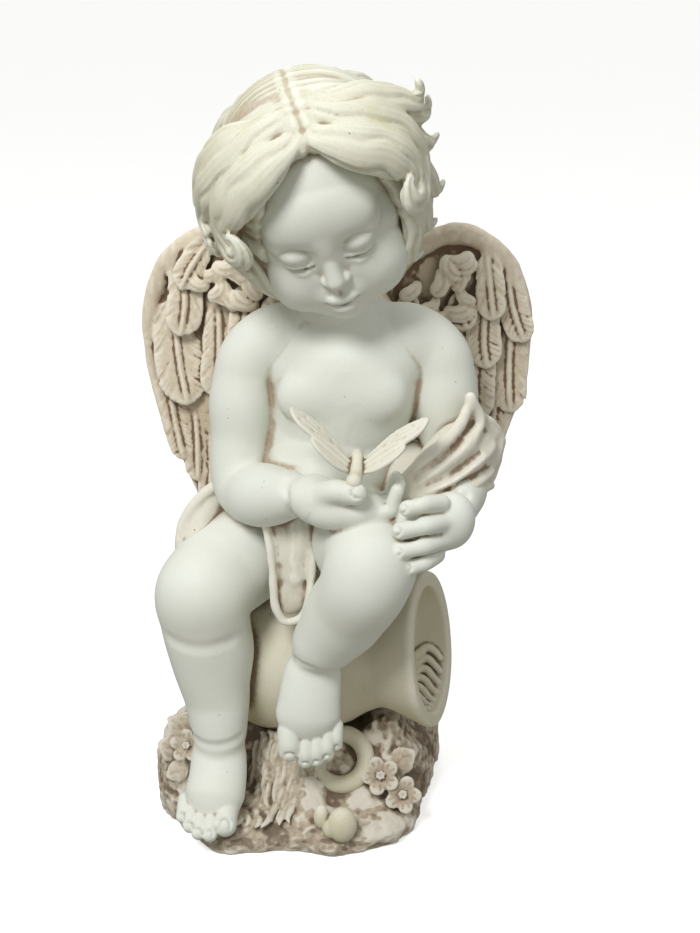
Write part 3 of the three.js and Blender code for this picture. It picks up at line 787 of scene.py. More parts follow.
def hair_form():
    """A parted cap combed to both sides, with locks that sweep round the face to curled ends."""
    form = Form((-75, -95, 300), (95, 65, 441))
    form.add(ball(HAIR_CENTRE, HAIR_RADII, place=HEAD_PLACE))
    form.add(ball([0, 22, -24], [35, 26, 30], place=HEAD_PLACE), 6)
    form.cut(ball([0, -52, -21], [44, 44, 77], place=HEAD_PLACE), 4)
    form.carve(combed, 5.0).soften(1)
    for seed, (width, path) in enumerate(LOCKS):
        form.add(lock(evenly(path, 11), width, seed), 2.0)
    return form


# ---------------------------------------------------------------- wings

WING = {"x": 22.5, "y": 41.0, "reach": 112.0, "sweep": 15.0}
WING_EDGE = [
    [14, 300], [38, 332], [70, 345], [97, 326], [112, 293], [109, 248],
    [97, 212], [85, 180], [74, 160], [60, 178], [42, 212], [20, 246],
]
LOW_FEATHERS = [
    (2.6, 8.5, [[88, 262], [76, 258], [64, 256], [52, 256], [40, 258]], [[84, 190], [77, 166],
        [66, 174], [55, 188], [43, 206]]),
    (3.4, 8.0, [[103, 282], [30, 262]], [[92, 204], [28, 232]]),
]
BACK_FEATHERS = [
    LOW_FEATHERS[0],
    LOW_FEATHERS[1],
    (3.8, 11, [[98, 298], [80, 298], [62, 295], [44, 290]], [[97, 238], [80, 232], [63, 232], [46, 240]]),
    (5.0, 11, [[90, 328], [73, 330], [56, 322], [39, 306]], [[95, 276], [77, 272], [59, 270], [41, 268]]),
]
RIGHT_FEATHERS = [
    (5.0, 12.5, [46, 292], [46, 236]),
    (5.4, 11.0, [69, 300], [71, 243]),
    (6.2, 15.0, [95, 302], [88, 239]),
    (7.4, 9.5, [55, 312], [57, 276]),
    (8.4, 11.0, [90, 330], [91, 281]),
    (9.0, 10.0, [38, 306], [38, 266]),
    (9.6, 8.5, [72, 338], [90, 309]),
]
LEFT_FEATHERS = [
    (4.8, 11.0, [104, 298], [103, 233]),
    (5.2, 11.5, [50, 292], [50, 236]),
    (5.6, 10.5, [68, 292], [71, 236]),
    (6.6, 12.5, [84, 290], [82, 229]),
    (6.8, 9.0, [98, 326], [110, 276]),
    (7.8, 10.5, [88, 304], [88, 262]),
    (8.8, 8.5, [70, 308], [75, 286]),
    (9.2, 9.0, [86, 330], [91, 291]),
    (9.4, 9.0, [42, 308], [44, 272]),
]


def on_wing(side, out, up, forward=0.0):
    """A point on a wing from its distance out from the back, height and how far it stands forward."""
    out = np.asarray(out, float)
    bend = WING["sweep"] * (np.clip(out, 0, None) / WING["reach"]) ** 1.5
    return np.stack(np.broadcast_arrays(WING["x"] + side * out, WING["y"] + bend - forward, up), -1)


def slab(outline, thick, lift, sides=140):
    """A closed plate with a rounded rim. `lift(plane points, height)` lays it in space."""
    edge = np.column_stack([np.asarray(outline, float), np.zeros(len(outline))])
    rim, _ = curve(edge, count=sides + 1, closed=True)
    rim = rim[:-1, :2]
    centre = rim.mean(0)
    shares = np.concatenate([np.linspace(0.05, 0.97, 26), [0.99, 1.0, 0.99], np.linspace(0.97, 0.05, 26)])
    heights = np.concatenate([np.full(26, 0.5), [0.36, 0.0, -0.36], np.full(26, -0.5)]) * thick
    grid = centre + (rim[None] - centre) * shares[:, None, None]
    tall = np.broadcast_to(heights[:, None], grid.shape[:2])
    points = lift(grid.reshape(-1, 2), tall.reshape(-1))
    poles = lift(np.array([centre, centre]), np.array([0.5, -0.5]) * thick)
    tris, quads = tube_faces(len(shares), sides)
    return np.vstack([points, poles]), tris, quads


def barbs(seed):
    """Feather relief: a quill down the middle and slanting, broken barbs either side."""
    a, b = np.random.default_rng(SEED + 700 + seed).uniform(0, 6, 2)

    def raised(along, x, width):
        share = np.clip(np.abs(x) / width, 0, 1)
        slant = along - 1.15 * np.abs(x) + 1.5 * np.sin(x / 3 + a)
        wave = np.abs(np.sin(math.pi * slant / 3.3 + 1.1 * np.sin(slant / 6 + a)))
        rim = rise(0.15, 1, share)
        split = np.clip(np.cos(2 * math.pi * slant / 15 + b + 1.4 * np.sign(x)), 0, 1) ** 10
        quill = np.exp(-((x / 1.2) ** 2)) * rise(0, 4, along)
        beside = np.exp(-(((np.abs(x) - 2.5) / 1.1) ** 2))
        dish = 0.9 * share**2 - 0.4
        furrows = 1.5 * (1 - wave) ** 1.3 * (0.3 + 0.7 * rim)
        return dish - furrows - 1.8 * split * rim + 1.1 * quill - 0.5 * beside

    return raised


def feather(side, root, tip, width, forward, seed, thick=2.4, way=1):
    """One broad feather lying on the front of the wing, or on its back where way is -1."""
    rng = np.random.default_rng(SEED + 500 + seed)
    root, tip = np.array(root, float), np.array(tip, float)
    swing = rng.uniform(-3, 3)
    across = np.array([root[1] - tip[1], tip[0] - root[0]]) / np.linalg.norm(root - tip)
    stations = []
    for s, w in ((0, 0.55), (0.25, 0.85), (0.6, 1.0), (0.85, 0.95), (1, 0.75)):
        spot = root + (tip - root) * s + across * swing * math.sin(math.pi * s)
        rises = way * (forward * 1.15 - 4.0 * (1 - s) + 2.4 * s * s)
        stations.append([*on_wing(side, spot[0], spot[1], rises), width * w])
    return limb(stations, flat=thick / width, facing=[0, -way, 0], sides=110, raised=barbs(seed))


def coverts(form, side, seed):
    """Short ruffled feathers over the root of the wing, curling every way."""
    rng = np.random.default_rng(SEED + 800 + seed)
    for k in range(16):
        out, up = rng.uniform(36, 74), rng.uniform(292, 332)
        if up > 300 + 0.62 * out:
            continue
        a = rng.uniform(-2.6, -0.5)
        size = rng.uniform(5.0, 7.0)
        line = []
        for s in np.linspace(0, 1, 6):
            b = a + 1.3 * (s - 0.3) * (1 if k % 2 else -1)
            spot = [out + 2.2 * size * s * math.cos(b), up + 2.2 * size * s * math.sin(b)]
            rises = 6.5 + 0.16 * k + 3.5 * math.sin(math.pi * s * 0.8)
            line.append([*on_wing(side, *spot, rises), size * (0.55 + 0.6 * s - 0.35 * s * s)])
        form.add(limb(line, flat=0.5, facing=[0, -1, 0], sides=80, relief=strands(7, 12, 1.3, seed + k)), 0.8)


def wing_form(side):
    """A wing of broad overlapping feathers below curled coverts and a rolled leading edge."""
    low = (30, 15, 150) if side > 0 else (-101, 15, 150)
    high = (146, 78, 354) if side > 0 else (16, 78, 354)
    form = Form(low, high)
    form.add(slab(WING_EDGE, 7, lambda p, h: on_wing(side, p[:, 0], p[:, 1], h)))
    form.add(ball(on_wing(side, 20, 284, 8), [17, 13, 26]), 8)
    seed = 100 if side > 0 else 0
    for forward, width, roots, tips in LOW_FEATHERS:
        for root, tip in zip(roots, tips):
            seed += 1
            form.add(feather(side, root, tip, width, forward, seed), 0.6)
    for forward, width, root, tip in LEFT_FEATHERS if side > 0 else RIGHT_FEATHERS:
        seed += 1
        form.add(feather(side, root, tip, width, forward, seed), 0.6)
    coverts(form, side, seed)
    edge = [[16, 296], [38, 327], [68, 341], [95, 326], [108, 299], [110, 268], [104, 236], [92, 204]]
    arch = [[*on_wing(side, o, u, 4), r] for (o, u), r in zip(edge, [6, 6, 6, 6, 5, 3.5, 3, 2.2])]
    form.add(limb(arch, flat=0.8, facing=[0, -1, 0]), 3)

    def worn(points):
        return 0.45 * rough(points * [1, 0.4, 0.5], 7.0, 2, 71) + 0.15 * noise(points, 2.6, 75)

    form.carve(worn, 3.0)
    for forward, width, roots, tips in BACK_FEATHERS:
        for root, tip in zip(roots, tips):
            seed += 1
            form.add(feather(side, root, tip, width, forward, seed, 2.2, -1), 1.0)
    return form


# ---------------------------------------------------------------- cloth


def pleat(form, points, radius, blend=3.0, thin=0.5):
    """A fold of cloth through points, thinning to its ends."""
    line, _ = curve(points, count=14)
    share = np.linspace(0, 1, len(line))
    radii = radius * (thin + (1 - thin) * np.sin(share * math.pi) ** 0.7)
    form.add(limb(np.column_stack([line, radii])), blend)


def arm_cloth_form():
    """Cloth gathered at the hand, spreading in folds over the forearm to a rolled outer edge."""
    form = Form((30, -62, 170), (125, 45, 275))
    swag = [[56, -41, 213, 8], [70, -37, 219, 13], [87, -20, 226, 18.5], [99, -3, 228, 19.5],
        [102, 14, 228, 15]]
    form.add(limb(swag, flat=0.82, facing=[0.6, -1, 0]))
    form.add(ball([64, 4, 204], [32, 20, 24]), 5)
    folds = [
        ([[55, -47, 218], [70, -44, 234], [86, -30, 244], [95, -20, 256], [96, -18, 264]], 3.8),
        ([[56, -48, 217], [76, -43, 228], [94, -28, 237], [102, -18, 247], [98, -18, 257]], 3.6),
        ([[56, -49, 215], [78, -46, 220], [98, -31, 226], [110, -14, 232]], 2.6),
        ([[55, -49, 213], [76, -48, 212], [96, -34, 215], [110, -16, 218]], 3.4),
        ([[55, -47, 209], [74, -47, 204], [92, -34, 207], [106, -20, 210], [110, -10, 207]], 3.8),
    ]
    for line, radius in folds:
        pleat(form, line, radius, 3.6)
    edges = [
        [[96, -18, 262], [101, -14, 251], [109, -8, 243], [114, -4, 234], [112, -8, 224], [106, -14, 219]],
        [[114, -4, 234], [115, 4, 224], [112, 2, 212], [108, -8, 206]],
    ]
    for line in edges:
        pleat(form, line, 3.2, 5)
    furrows = [
        [[64, -50, 224], [80, -42, 234], [94, -30, 243]],
        [[66, -51, 218], [84, -44, 224], [104, -26, 233]],
        [[64, -51, 211], [82, -48, 209], [102, -30, 211]],
    ]
    for line in furrows:
        form.groove(line, 2.4, 2.0, 2)
    return form


def hip_cloth_form():
    """Cloth under the seat, folded over the thigh and hanging down the back of the jar."""
    form = Form((-72, -52, 60), (70, 92, 225))
    form.add(ball([10, 34, 174], [52, 27, 32]))
    back = [[10, 44, 186, 44], [8, 64, 150, 44], [6, 74, 116, 36], [4, 76, 92, 22]]
    form.add(limb(back, flat=0.38, facing=[0, 1, 0.4]), 6)
    outside = [[-34, 28, 190, 15], [-52, 10, 185, 16], [-60, -4, 172, 14], [-62, -12, 158, 8]]
    form.add(limb(outside, flat=0.65, facing=[-1, 0, 0.5]), 4)
    for i in range(4):
        line = [
            [-30, 14 - i * 2, 208 - i * 8],
            [-52, 0 - i, 200 - i * 9],
            [-66, -8, 182 - i * 8],
            [-67, -15, 163 - i * 4],
        ]
        pleat(form, line, 3.4, 3)
    for x in (-26, -12, 4, 20, 34):
        line = [
            [x * 0.7 + 8, 57, 194],
            [x + 8 + x % 5, 76 - x * x / 160, 160],
            [x * 0.9 + 2, 82, 126],
            [x * 0.7 + 4, 81, 98],
        ]
        pleat(form, line, 4.2, 7)
    return form


def lap_cloth_form():
    """A flap that hangs between the thighs, hollow in the middle, with a rolled edge."""
    form = Form((-45, -60, 118), (45, 12, 235))
    flap = [[8, -18, 208, 26], [2, -27, 186, 18], [-2, -31, 164, 12.5], [-4, -32, 148, 11.5],
        [-4, -33, 138, 9]]
    form.add(limb(flap, flat=0.36, facing=[0, -1, 0.3]))
    rim = [[-20, -26, 200], [-15, -33, 180], [-13, -37, 160], [-12, -39, 146], [-7, -40, 137],
        [0, -40, 137],
           [6, -39, 145], [8, -38, 160], [10, -35, 180], [16, -28, 204]]
    pleat(form, rim, 2.4, 3, 0.8)
    pleat(form, [[0, -27, 208], [2, -33, 192], [2, -35, 176], [0, -35, 160]], 3.2, 6)
    return form


def drapery_form():
    """All the cloth, lightly roughened."""
    form = Form((-72, -62, 60), (125, 92, 272))
    form.add(arm_cloth_form())
    form.add(hip_cloth_form(), 3)
    form.add(lap_cloth_form(), 3)
    form.carve(lambda p: 0.35 * rough(p, 7.0, 2, 81), 3.0)
    return form


# ---------------------------------------------------------------- butterfly


def butterfly_form():
    """A butterfly with half-raised wings, veined and ringed with small spots."""
    form = Form((-12, -82, 216), (82, -40, 276))
    body = [[34, -51, 240, 3.0], [33.8, -56, 239, 3.8], [33.5, -61, 236.5, 4.2], [32.5, -67, 232, 4.4]]
    form.add(limb(body, round_ends=True))
    form.add(ball([32, -70.5, 231], [4.2, 4.0, 4.0]), 1.2)
    for side, tip in ((-1, [-2, -58, 265.5]), (1, [72, -58, 259.5])):
        root = np.array([33.5 + side * 1.5, -62, 234.5])
        along = np.array(tip) - root
        length = np.linalg.norm(along)
        along = unit(along)
        face = np.array([-side * 0.62, -0.3, 0.75])
        across = unit(np.cross(along, face)) * side
        face = unit(np.cross(across, along)) * side
        face = face * np.sign(face[2])

        def lift(p, h, root=root, along=along, across=across, face=face, length=length):
            q = root + p[:, 0:1] * length * along + p[:, 1:2] * across
            dome = 1.5 * np.sin(np.clip(p[:, 0], 0, 1) * math.pi)
            return q + (h + dome)[:, None] * face

        fore = [[0, -2], [0.3, -6.5], [0.7, -9], [1.0, -5.5], [0.97, 0], [0.8, 5], [0.45, 5.5], [0.1, 3]]
        form.add(slab(fore, 2.2, lift, sides=90))
        hind = [[0, 0], [0.2, -4], [0.5, 0], [0.62, 7], [0.45, 11.5], [0.18, 10], [0.02, 4]]
        form.add(slab(hind, 2.0, lambda p, h: lift(p, h - 0.8), sides=90), 0.3)
        for end in ([0.96, -6], [0.93, -1], [0.78, 3.6]):
            line = lift(np.array([[0.08, -0.5], [0.5, end[1] * 0.45], end]), np.full(3, 1.0))
            form.add(limb(np.column_stack([line, [1.0, 0.8, 0.5]])), 0.3)
        for spot in ([0.82, -4.6], [0.86, 0.4], [0.6, -4.4], [0.66, 1.6], [0.4, -2.6]):
            centre = lift(np.array([spot]), np.array([1.15]))[0]
            turn = np.stack([along, np.cross(face, along), face], 1)
            form.cut(ball([0, 0, 0], [1.5, 1.5, 0.9], place=(turn, centre + face * 0.35)), 0.3)
    return form


# ---------------------------------------------------------------- jar

JAR_AT, JAR_MOUTH = np.array([0.0, 22.0, 89.0]), np.array([79.0, -1.0, 101.0])
JAR_RIM, JAR_WALL = 46, 6
RIB_REACH = [20, 28, 31.5, 33.5, 35, 36, 36.5]


def jar_form():
    """The jar lying on its side, hollow at the mouth, with ribs inside below."""
    axis = JAR_MOUTH - JAR_AT
    end = np.linalg.norm(axis)
    axis = axis / end
    side = unit(np.cross(axis, [0, 0, 1]))
    turn = np.stack([np.cross(axis, side), axis, side], 1)
    rim, wall = JAR_RIM, JAR_WALL
    profile = [
        [0, -52], [22, -51], [40, -38], [48, -18], [49, 4], [44, 26], [37, 42], [34.5, 51],
        [36, 58], [rim - 4, end - 12], [rim, end - 4], [rim - 0.6, end - 0.4], [rim - 4, end + 0.2],
        [rim - wall - 1.5, end - 0.2], [rim - wall - 3, end - 2], [rim - wall - 4, end - 10],
            [33, end - 22],
        [22, end - 31], [0, end - 33],
    ]
    form = Form((-58, -54, 30), (102, 78, 156))

    def dents(p):
        reach = np.linalg.norm(p[:, [0, 2]], axis=1, keepdims=True)
        way = np.column_stack([p[:, 0], np.zeros(len(p)), p[:, 2]]) / np.maximum(reach, 1e-6)
        return p + way * (0.9 * rough(p, 26, 2, 5) * np.minimum(reach[:, 0], 20) / 20)[:, None]

    form.add(lathe(profile, (turn, JAR_AT), dents))
    for k in range(7):
        a = math.radians(300 + 11 * k)
        line = []
        for s in np.linspace(0, 1, 7):
            swing = a + 0.13 * math.sin(7 * s + 0.3 * k)
            reach = RIB_REACH[round(6 * s)]
            radius = 1.5 + 1.2 * math.sin(math.pi * s)
            line.append([reach * math.cos(swing), end - 30 + 26 * s, reach * math.sin(swing), radius])
        line = np.array(line)
        form.add(limb(np.column_stack([line[:, :3] @ turn.T + JAR_AT, line[:, 3]])), 0.8)
    return form


def handle_form():
    """The ring that lies against the jar's belly."""
    form = Form((-2, -48, 12), (50, 8, 62))
    place = (rotation((46, 0, 0)), np.array([24.0, -20.0, 38.0]))
    form.add(ring(place, 15.4, 5.4))
    return form


# ---------------------------------------------------------------- base

BASE_CENTRE = np.array([0.0, 10.0])
BASE_EDGE = [
    [84, 62], [83, 28], [75, -10], [69, -34], [57, -52], [41, -60], [21, -67], [0, -61], [-24, -63],
    [-48, -62], [-64, -43], [-78, -24], [-87, -2], [-85, 34], [-66, 66], [-30, 82], [10, 86], [54, 80],
]
GROUND = {"front": 15, "terrace": 47, "cradle": 8, "mound": 12, "dip": 4}


def ground(x, y):
    """Height of the ground: low in front and under the foot, and up a bank to the terrace under the jar."""
    left = 1 - rise(-70, -56, x)
    aside = 24 * (1 - rise(-38, -12, x)) * (1 - left)
    bank = rise(0, 1, (y + 44 - aside - 8 * left) / (40 - 14 * left))
    mound = GROUND["mound"] * np.exp(-((x - 3) ** 2 + (y + 31) ** 2) / 420)
    cradle = GROUND["cradle"] * rise(34, 46, x) * (1 - rise(58, 70, x)) * rise(-24, -6, y)
    dip = GROUND["dip"] * rise(54, 68, x) * (1 - rise(10, 40, y))
    lumps = 1.6 * np.sin(x / 9 + 1) * np.cos(y / 8)
    return GROUND["front"] + (GROUND["terrace"] - GROUND["front"]) * bank + mound + cradle - dip + lumps


def rock():
    """The rocky base as one closed mesh with a flat underside."""
    sides, rings = 260, 110
    rim, _ = curve([[x, y, 0] for x, y in BASE_EDGE], count=sides + 1, closed=True)
    rim = rim[:-1, :2]
    reach = np.concatenate([np.linspace(0.02, 1, rings), [0.999, 0.99, 0.975, 0.9, 0.5]])
    plan = BASE_CENTRE + (rim[None] - BASE_CENTRE) * reach[:, None, None]
    top = ground(plan[..., 0], plan[..., 1]) * (1 - 0.5 * reach[:, None] ** 12)
    share = np.concatenate([np.ones(rings), [0.6, 0.25, 0.0, 0.0, 0.0]])
    z = top * share[:, None]
    points = np.concatenate([plan, z[..., None]], -1).reshape(-1, 3)
    lift = 1.5 * rough(points, 11, 3, 20) + 1.0 * np.abs(noise(points, 5.5, 31))
    edge = np.repeat(rise(0.8, 1, reach) * share, sides)
    way = np.column_stack([unit(points[:, :2] - BASE_CENTRE), np.zeros(len(points))])
    free = np.repeat(share > 0.5, sides)
    points[:, 2] += lift * free * (1 - 0.5 * edge)
    points -= way * (1.2 * np.abs(rough(points, 9, 3, 26)) * edge * free)[:, None]
    poles = [[*BASE_CENTRE, points[:sides, 2].mean()], [*BASE_CENTRE, 0]]
    tris, quads = tube_faces(len(reach), sides)
    return np.vstack([points, poles]), tris, quads


def blades(form, count):
    """Tufts of carved grass that flow down the bank between the feet, lying close to it."""
    rng = np.random.default_rng(SEED + 40)
    for _ in range(count):
        x, y = rng.uniform(-46, 8), rng.uniform(-46, 2)
        if x > -4 and y < -34:
            continue
        swing = 0.9 * math.sin(x / 7 + y / 11) + rng.uniform(-0.3, 0.3)
        reach = rng.uniform(12, 22)
        line = []
        for s in np.linspace(0, 1, 6):
            px = x + reach * (0.42 * swing * s + 0.16 * math.sin(4 * s + 2 * swing))
            py = y - reach * 0.8 * s
            rises = 0.1 + 1.4 * math.sin(math.pi * s)
            radius = 0.4 + 1.7 * math.sin(math.pi * (0.15 + 0.85 * s)) ** 0.8
            line.append([px, py, float(ground(px, py)) + rises, radius])
        form.add(limb(line, flat=0.7, facing=[0, -0.6, 0.8]), 0.3)


def flower(form, at, size, tilt, turn=20):
    """Five cupped petals with a furrow each, round a small tuft of stamens."""
    place = (rotation((tilt, 0, turn)), np.array(at, float))
    form.add(ball([0, 0, -size * 0.2], [size * 0.55, size * 0.55, size * 0.4], place=place), 1)
    for k in range(5):
        a = math.radians(72 * k + 18)
        out = np.array([math.cos(a), math.sin(a), 0])
        side = np.array([-math.sin(a), math.cos(a), 0])
        face = unit(np.array([0, 0, 1]) - 0.35 * out)
        frame_turn = np.stack([unit(np.cross(side, face)), side, face], 1)
        centre = out * size * 0.56 + np.array([0, 0, size * 0.16])
        petal = ball([0, 0, 0], [size * 0.46, size * 0.4, size * 0.15])
        points = petal[0] @ frame_turn.T + centre
        form.add((points @ place[0].T + place[1], petal[1], petal[2]), 0.4)
        for off in (-0.12, 0.12):
            a0 = out * size * 0.25 + side * off * size * 0.4 + face * size * 0.33
            a1 = out * size * 0.85 + side * off * size * 1.6 + face * size * 0.30
            line = np.array([a0, (a0 + a1) / 2, a1]) @ place[0].T + place[1]
            form.cut(limb(np.column_stack([line, [0.5, 0.6, 0.3]])), 0.3)
    for k in range(6):
        a = math.radians(60 * k)
        tip = np.array([math.cos(a) * size * 0.17, math.sin(a) * size * 0.17, size * 0.38])
        form.add(ball(tip, [size * 0.09] * 3, place=place), 0.3)
    form.add(ball([0, 0, size * 0.3], [size * 0.11] * 3, place=place), 0.3)


def leaf(form, start, end, width, facing):
    """A pointed leaf with a furrow along its middle and slanting veins."""
    start, end = np.array(start, float), np.array(end, float)

    def veins(along, angle, wide):
        x = np.abs(np.cos(angle)) * wide
        wave = np.cos(2 * math.pi * (along - 1.1 * x) / 3.2)
        return 1 + 0.06 * wave - 0.3 * np.exp(-((x / 0.8) ** 2))

    mid = (start + end) / 2 + np.array([0, 0, 1.5])
    stations = [[*start, width * 0.35], [*(start * 0.7 + mid * 0.3), width * 0.8], [*mid, width],
                [*(end * 0.6 + mid * 0.4), width * 0.6], [*end, 0.9]]
    form.add(limb(stations, flat=0.3, facing=facing, relief=veins), 0.5)


def ground_form():
    """The base with its grass, flowers and leaves."""
    form = Form((-96, -78, -2), (92, 96, 70))
    form.add(rock())

    def broken(p):
        cracks = 1.1 * (0.5 - np.abs(rough(p * [1, 1, 1.6], 8, 2, 94)))
        return 2.4 * rough(p, 16, 2, 91) + cracks + 0.5 * noise(p, 3.0, 97)

    form.carve(broken, 5.0)
    form.flatten()
    blades(form, 110)
    flower(form, [48, -28.5, 31], 12, 50)
    flower(form, [61, -34, 22], 11.5, 56, 50)
    flower(form, [-68, -10.5, 41], 10.5, 50, 0)
    leaf(form, [54, -21, 29], [69, -18, 43], 8, [0, -0.8, 0.6])
    leaf(form, [-64, -6, 41], [-80, -2, 57], 8, [0.2, -0.8, 0.6])
    leaf(form, [-69, -12, 34], [-86, -8, 43], 8, [0, -0.8, 0.6])
    leaf(form, [-66, -20, 30], [-80, -22, 27], 7, [0, -0.8, 0.6])
    return form


def pebbles_form():
    """Three smooth pebbles half sunk in the front of the bank."""
    form = Form((3, -76, 0), (40, -44, 36))
    stones = [
        ([13.5, -57, 21.5], [4.5, 4.5, 7.5]),
        ([19, -60, 16], [5, 5, 6.5]),
        ([25.5, -61, 18.5], [8.5, 7, 11]),
    ]
    for at, radii in stones:
        form.add(ball(at, radii), 0.8)
    return form


# ---------------------------------------------------------------- from forms to pieces

NEAR_REACH, WIDE_REACH = 3.2, 9.0


def union_blocks(forms):
    """All forms together on every second lattice point, lightly and widely averaged: the wide average is the
    shelter where the materials paint shade.
    """
    low = np.min([f.start for f in forms], axis=0)
    low = low - low % 2
    high = np.max([f.start + f.d.shape for f in forms], axis=0)
    whole = np.full((high - low) // 2 + 3, BAND, np.float32)
    for f in forms:
        skip = (-f.start) % 2
        d = f.d[skip[0]::2, skip[1]::2, skip[2]::2]
        at = (f.start + skip - low) // 2
        spot = tuple(slice(a, a + n) for a, n in zip(at, d.shape))
        whole[spot] = np.minimum(whole[spot], d)
    near = max(1, round(NEAR_REACH / (2 * STEP)))
    far = max(2, round(WIDE_REACH / (2 * STEP)))
    return low // 2, [boxes(boxes(whole, near), near), boxes(boxes(whole, far), far // 2)]


def read_at(block, low, step, points):
    """Values of a block with one lattice spacing at points."""
    q = np.clip(points / step - low, 0, np.array(block.shape) - 1.001)
    i = q.astype(int)
    f = q - i
    total = 0
    for k in range(8):
        o = np.array([k & 1, k >> 1 & 1, k >> 2 & 1])
        total = total + np.prod(np.where(o, f, 1 - f), axis=1) * block[tuple((i + o).T)]
    return total


def piece(name, form, budget, shared):
    """A form meshed, thinned to a triangle budget, and given its hollow and edge values; the broad shelter
    value is where the materials paint shade.
    """
    grid = vdb.FloatGrid(BAND)
    grid.copyFromArray(form.d, ijk=tuple(int(v) for v in form.start))
    grid.transform = vdb.createLinearTransform(STEP)
    points, quads = grid.convertToQuads(0.0)
    points = points.astype(np.float64)
    mesh = bpy.data.meshes.new(name)
    mesh.from_pydata((points * MM).tolist(), [], quads[:, ::-1].tolist())
    mesh.update()
    if 2 * len(quads) > budget:
        thick = bpy.data.objects.new(name + "_thick", mesh)
        bpy.context.scene.collection.objects.link(thick)
        thin = thick.modifiers.new("thin", "DECIMATE")
        thin.ratio = budget / (2 * len(quads))
        done = thick.evaluated_get(bpy.context.evaluated_depsgraph_get())
        mesh = bpy.data.meshes.new_from_object(done)
        bpy.data.objects.remove(thick)
    mesh.name = name
    mesh.shade_smooth()
    made = bpy.data.objects.new(name, mesh)
    bpy.context.scene.collection.objects.link(made)
    co = np.empty(len(mesh.vertices) * 3)
    mesh.vertices.foreach_get("co", co)
    spots = co.reshape(-1, 3) / MM
    low, (mid, wide) = shared
    fine = form.at(spots, boxes(form.d, 2 if STEP < 1 else 1))
    values = {
        "fine": fine,
        "mid": read_at(mid, low, 2 * STEP, spots),
        # broad: shelter by all the pieces together, which the materials darken as painted shade.
        "broad": read_at(wide, low, 2 * STEP, spots),
    }
    for key, value in values.items():
        layer = mesh.attributes.new(key, "FLOAT", "POINT")
        layer.data.foreach_set("value", np.ascontiguousarray(value, np.float32))
    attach(made, "root")
    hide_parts("putto_statue")
    return made


# ---------------------------------------------------------------- materials


def tint(*levels):
    """A linear colour from red, green and blue display values of 0 to 255."""
    linear = [c / 255 / 12.92 if c < 10 else ((c / 255 + 0.055) / 1.055) ** 2.4 for c in levels]
    return (*linear, 1)


class Graph:
    """Short calls for building a shader node tree."""

    def __init__(self, tree):
        self.tree = tree

    def node(self, kind, inputs=(), **settings):
        made = self.tree.nodes.new(kind)
        for key, value in settings.items():
            setattr(made, key, value)
        for key, value in dict(inputs).items():
            self.feed(made.inputs[key], value)
        return made

    def feed(self, socket, value):
        if isinstance(value, bpy.types.NodeSocket):
            self.tree.links.new(value, socket)
        elif value is not None:
            socket.default_value = value

    def sum(self, kind, a, b=None, clamp=False):
        made = self.tree.nodes.new("ShaderNodeMath")
        made.operation = kind
        made.use_clamp = clamp
        self.feed(made.inputs[0], a)
        if b is not None:
            self.feed(made.inputs[1], b)
        return made.outputs[0]

    def ramp(self, value, start, end, low=0.0, high=1.0):
        names = {"Value": value, "From Min": start, "From Max": end, "To Min": low, "To Max": high}
        return self.node("ShaderNodeMapRange", names, interpolation_type="SMOOTHSTEP").outputs[0]

    def mix(self, share, a, b):
        made = self.tree.nodes.new("ShaderNodeMix")
        made.data_type = "RGBA"
        made.blend_type = "MIX"
        self.feed(made.inputs[0], share)
        self.feed(made.inputs[6], a)
        self.feed(made.inputs[7], b)
        return made.outputs[2]

    def noise(self, place, scale, detail=4.0, rough=0.55, stretch=None):
        if stretch is not None:
            place = self.node("ShaderNodeMapping", {"Vector": place, "Scale": stretch}).outputs[0]
        names = {"Vector": place, "Scale": scale, "Detail": detail, "Roughness": rough}
        return self.node("ShaderNodeTexNoise", names).outputs[0]

    def stored(self, name):
        return self.node("ShaderNodeAttribute", attribute_name=name).outputs[2]


def new_group(name, inputs, outputs):
    """An empty shader group with named value or colour inputs and outputs."""
    tree = bpy.data.node_groups.new(name, "ShaderNodeTree")
    for label, kind, value in inputs:
        made = tree.interface.new_socket(label, in_out="INPUT", socket_type=kind)
        if value is not None:
            made.default_value = value
    for label, kind in outputs:
        tree.interface.new_socket(label, in_out="OUTPUT", socket_type=kind)
    return tree, Graph(tree), tree.nodes.new("NodeGroupInput"), tree.nodes.new("NodeGroupOutput")


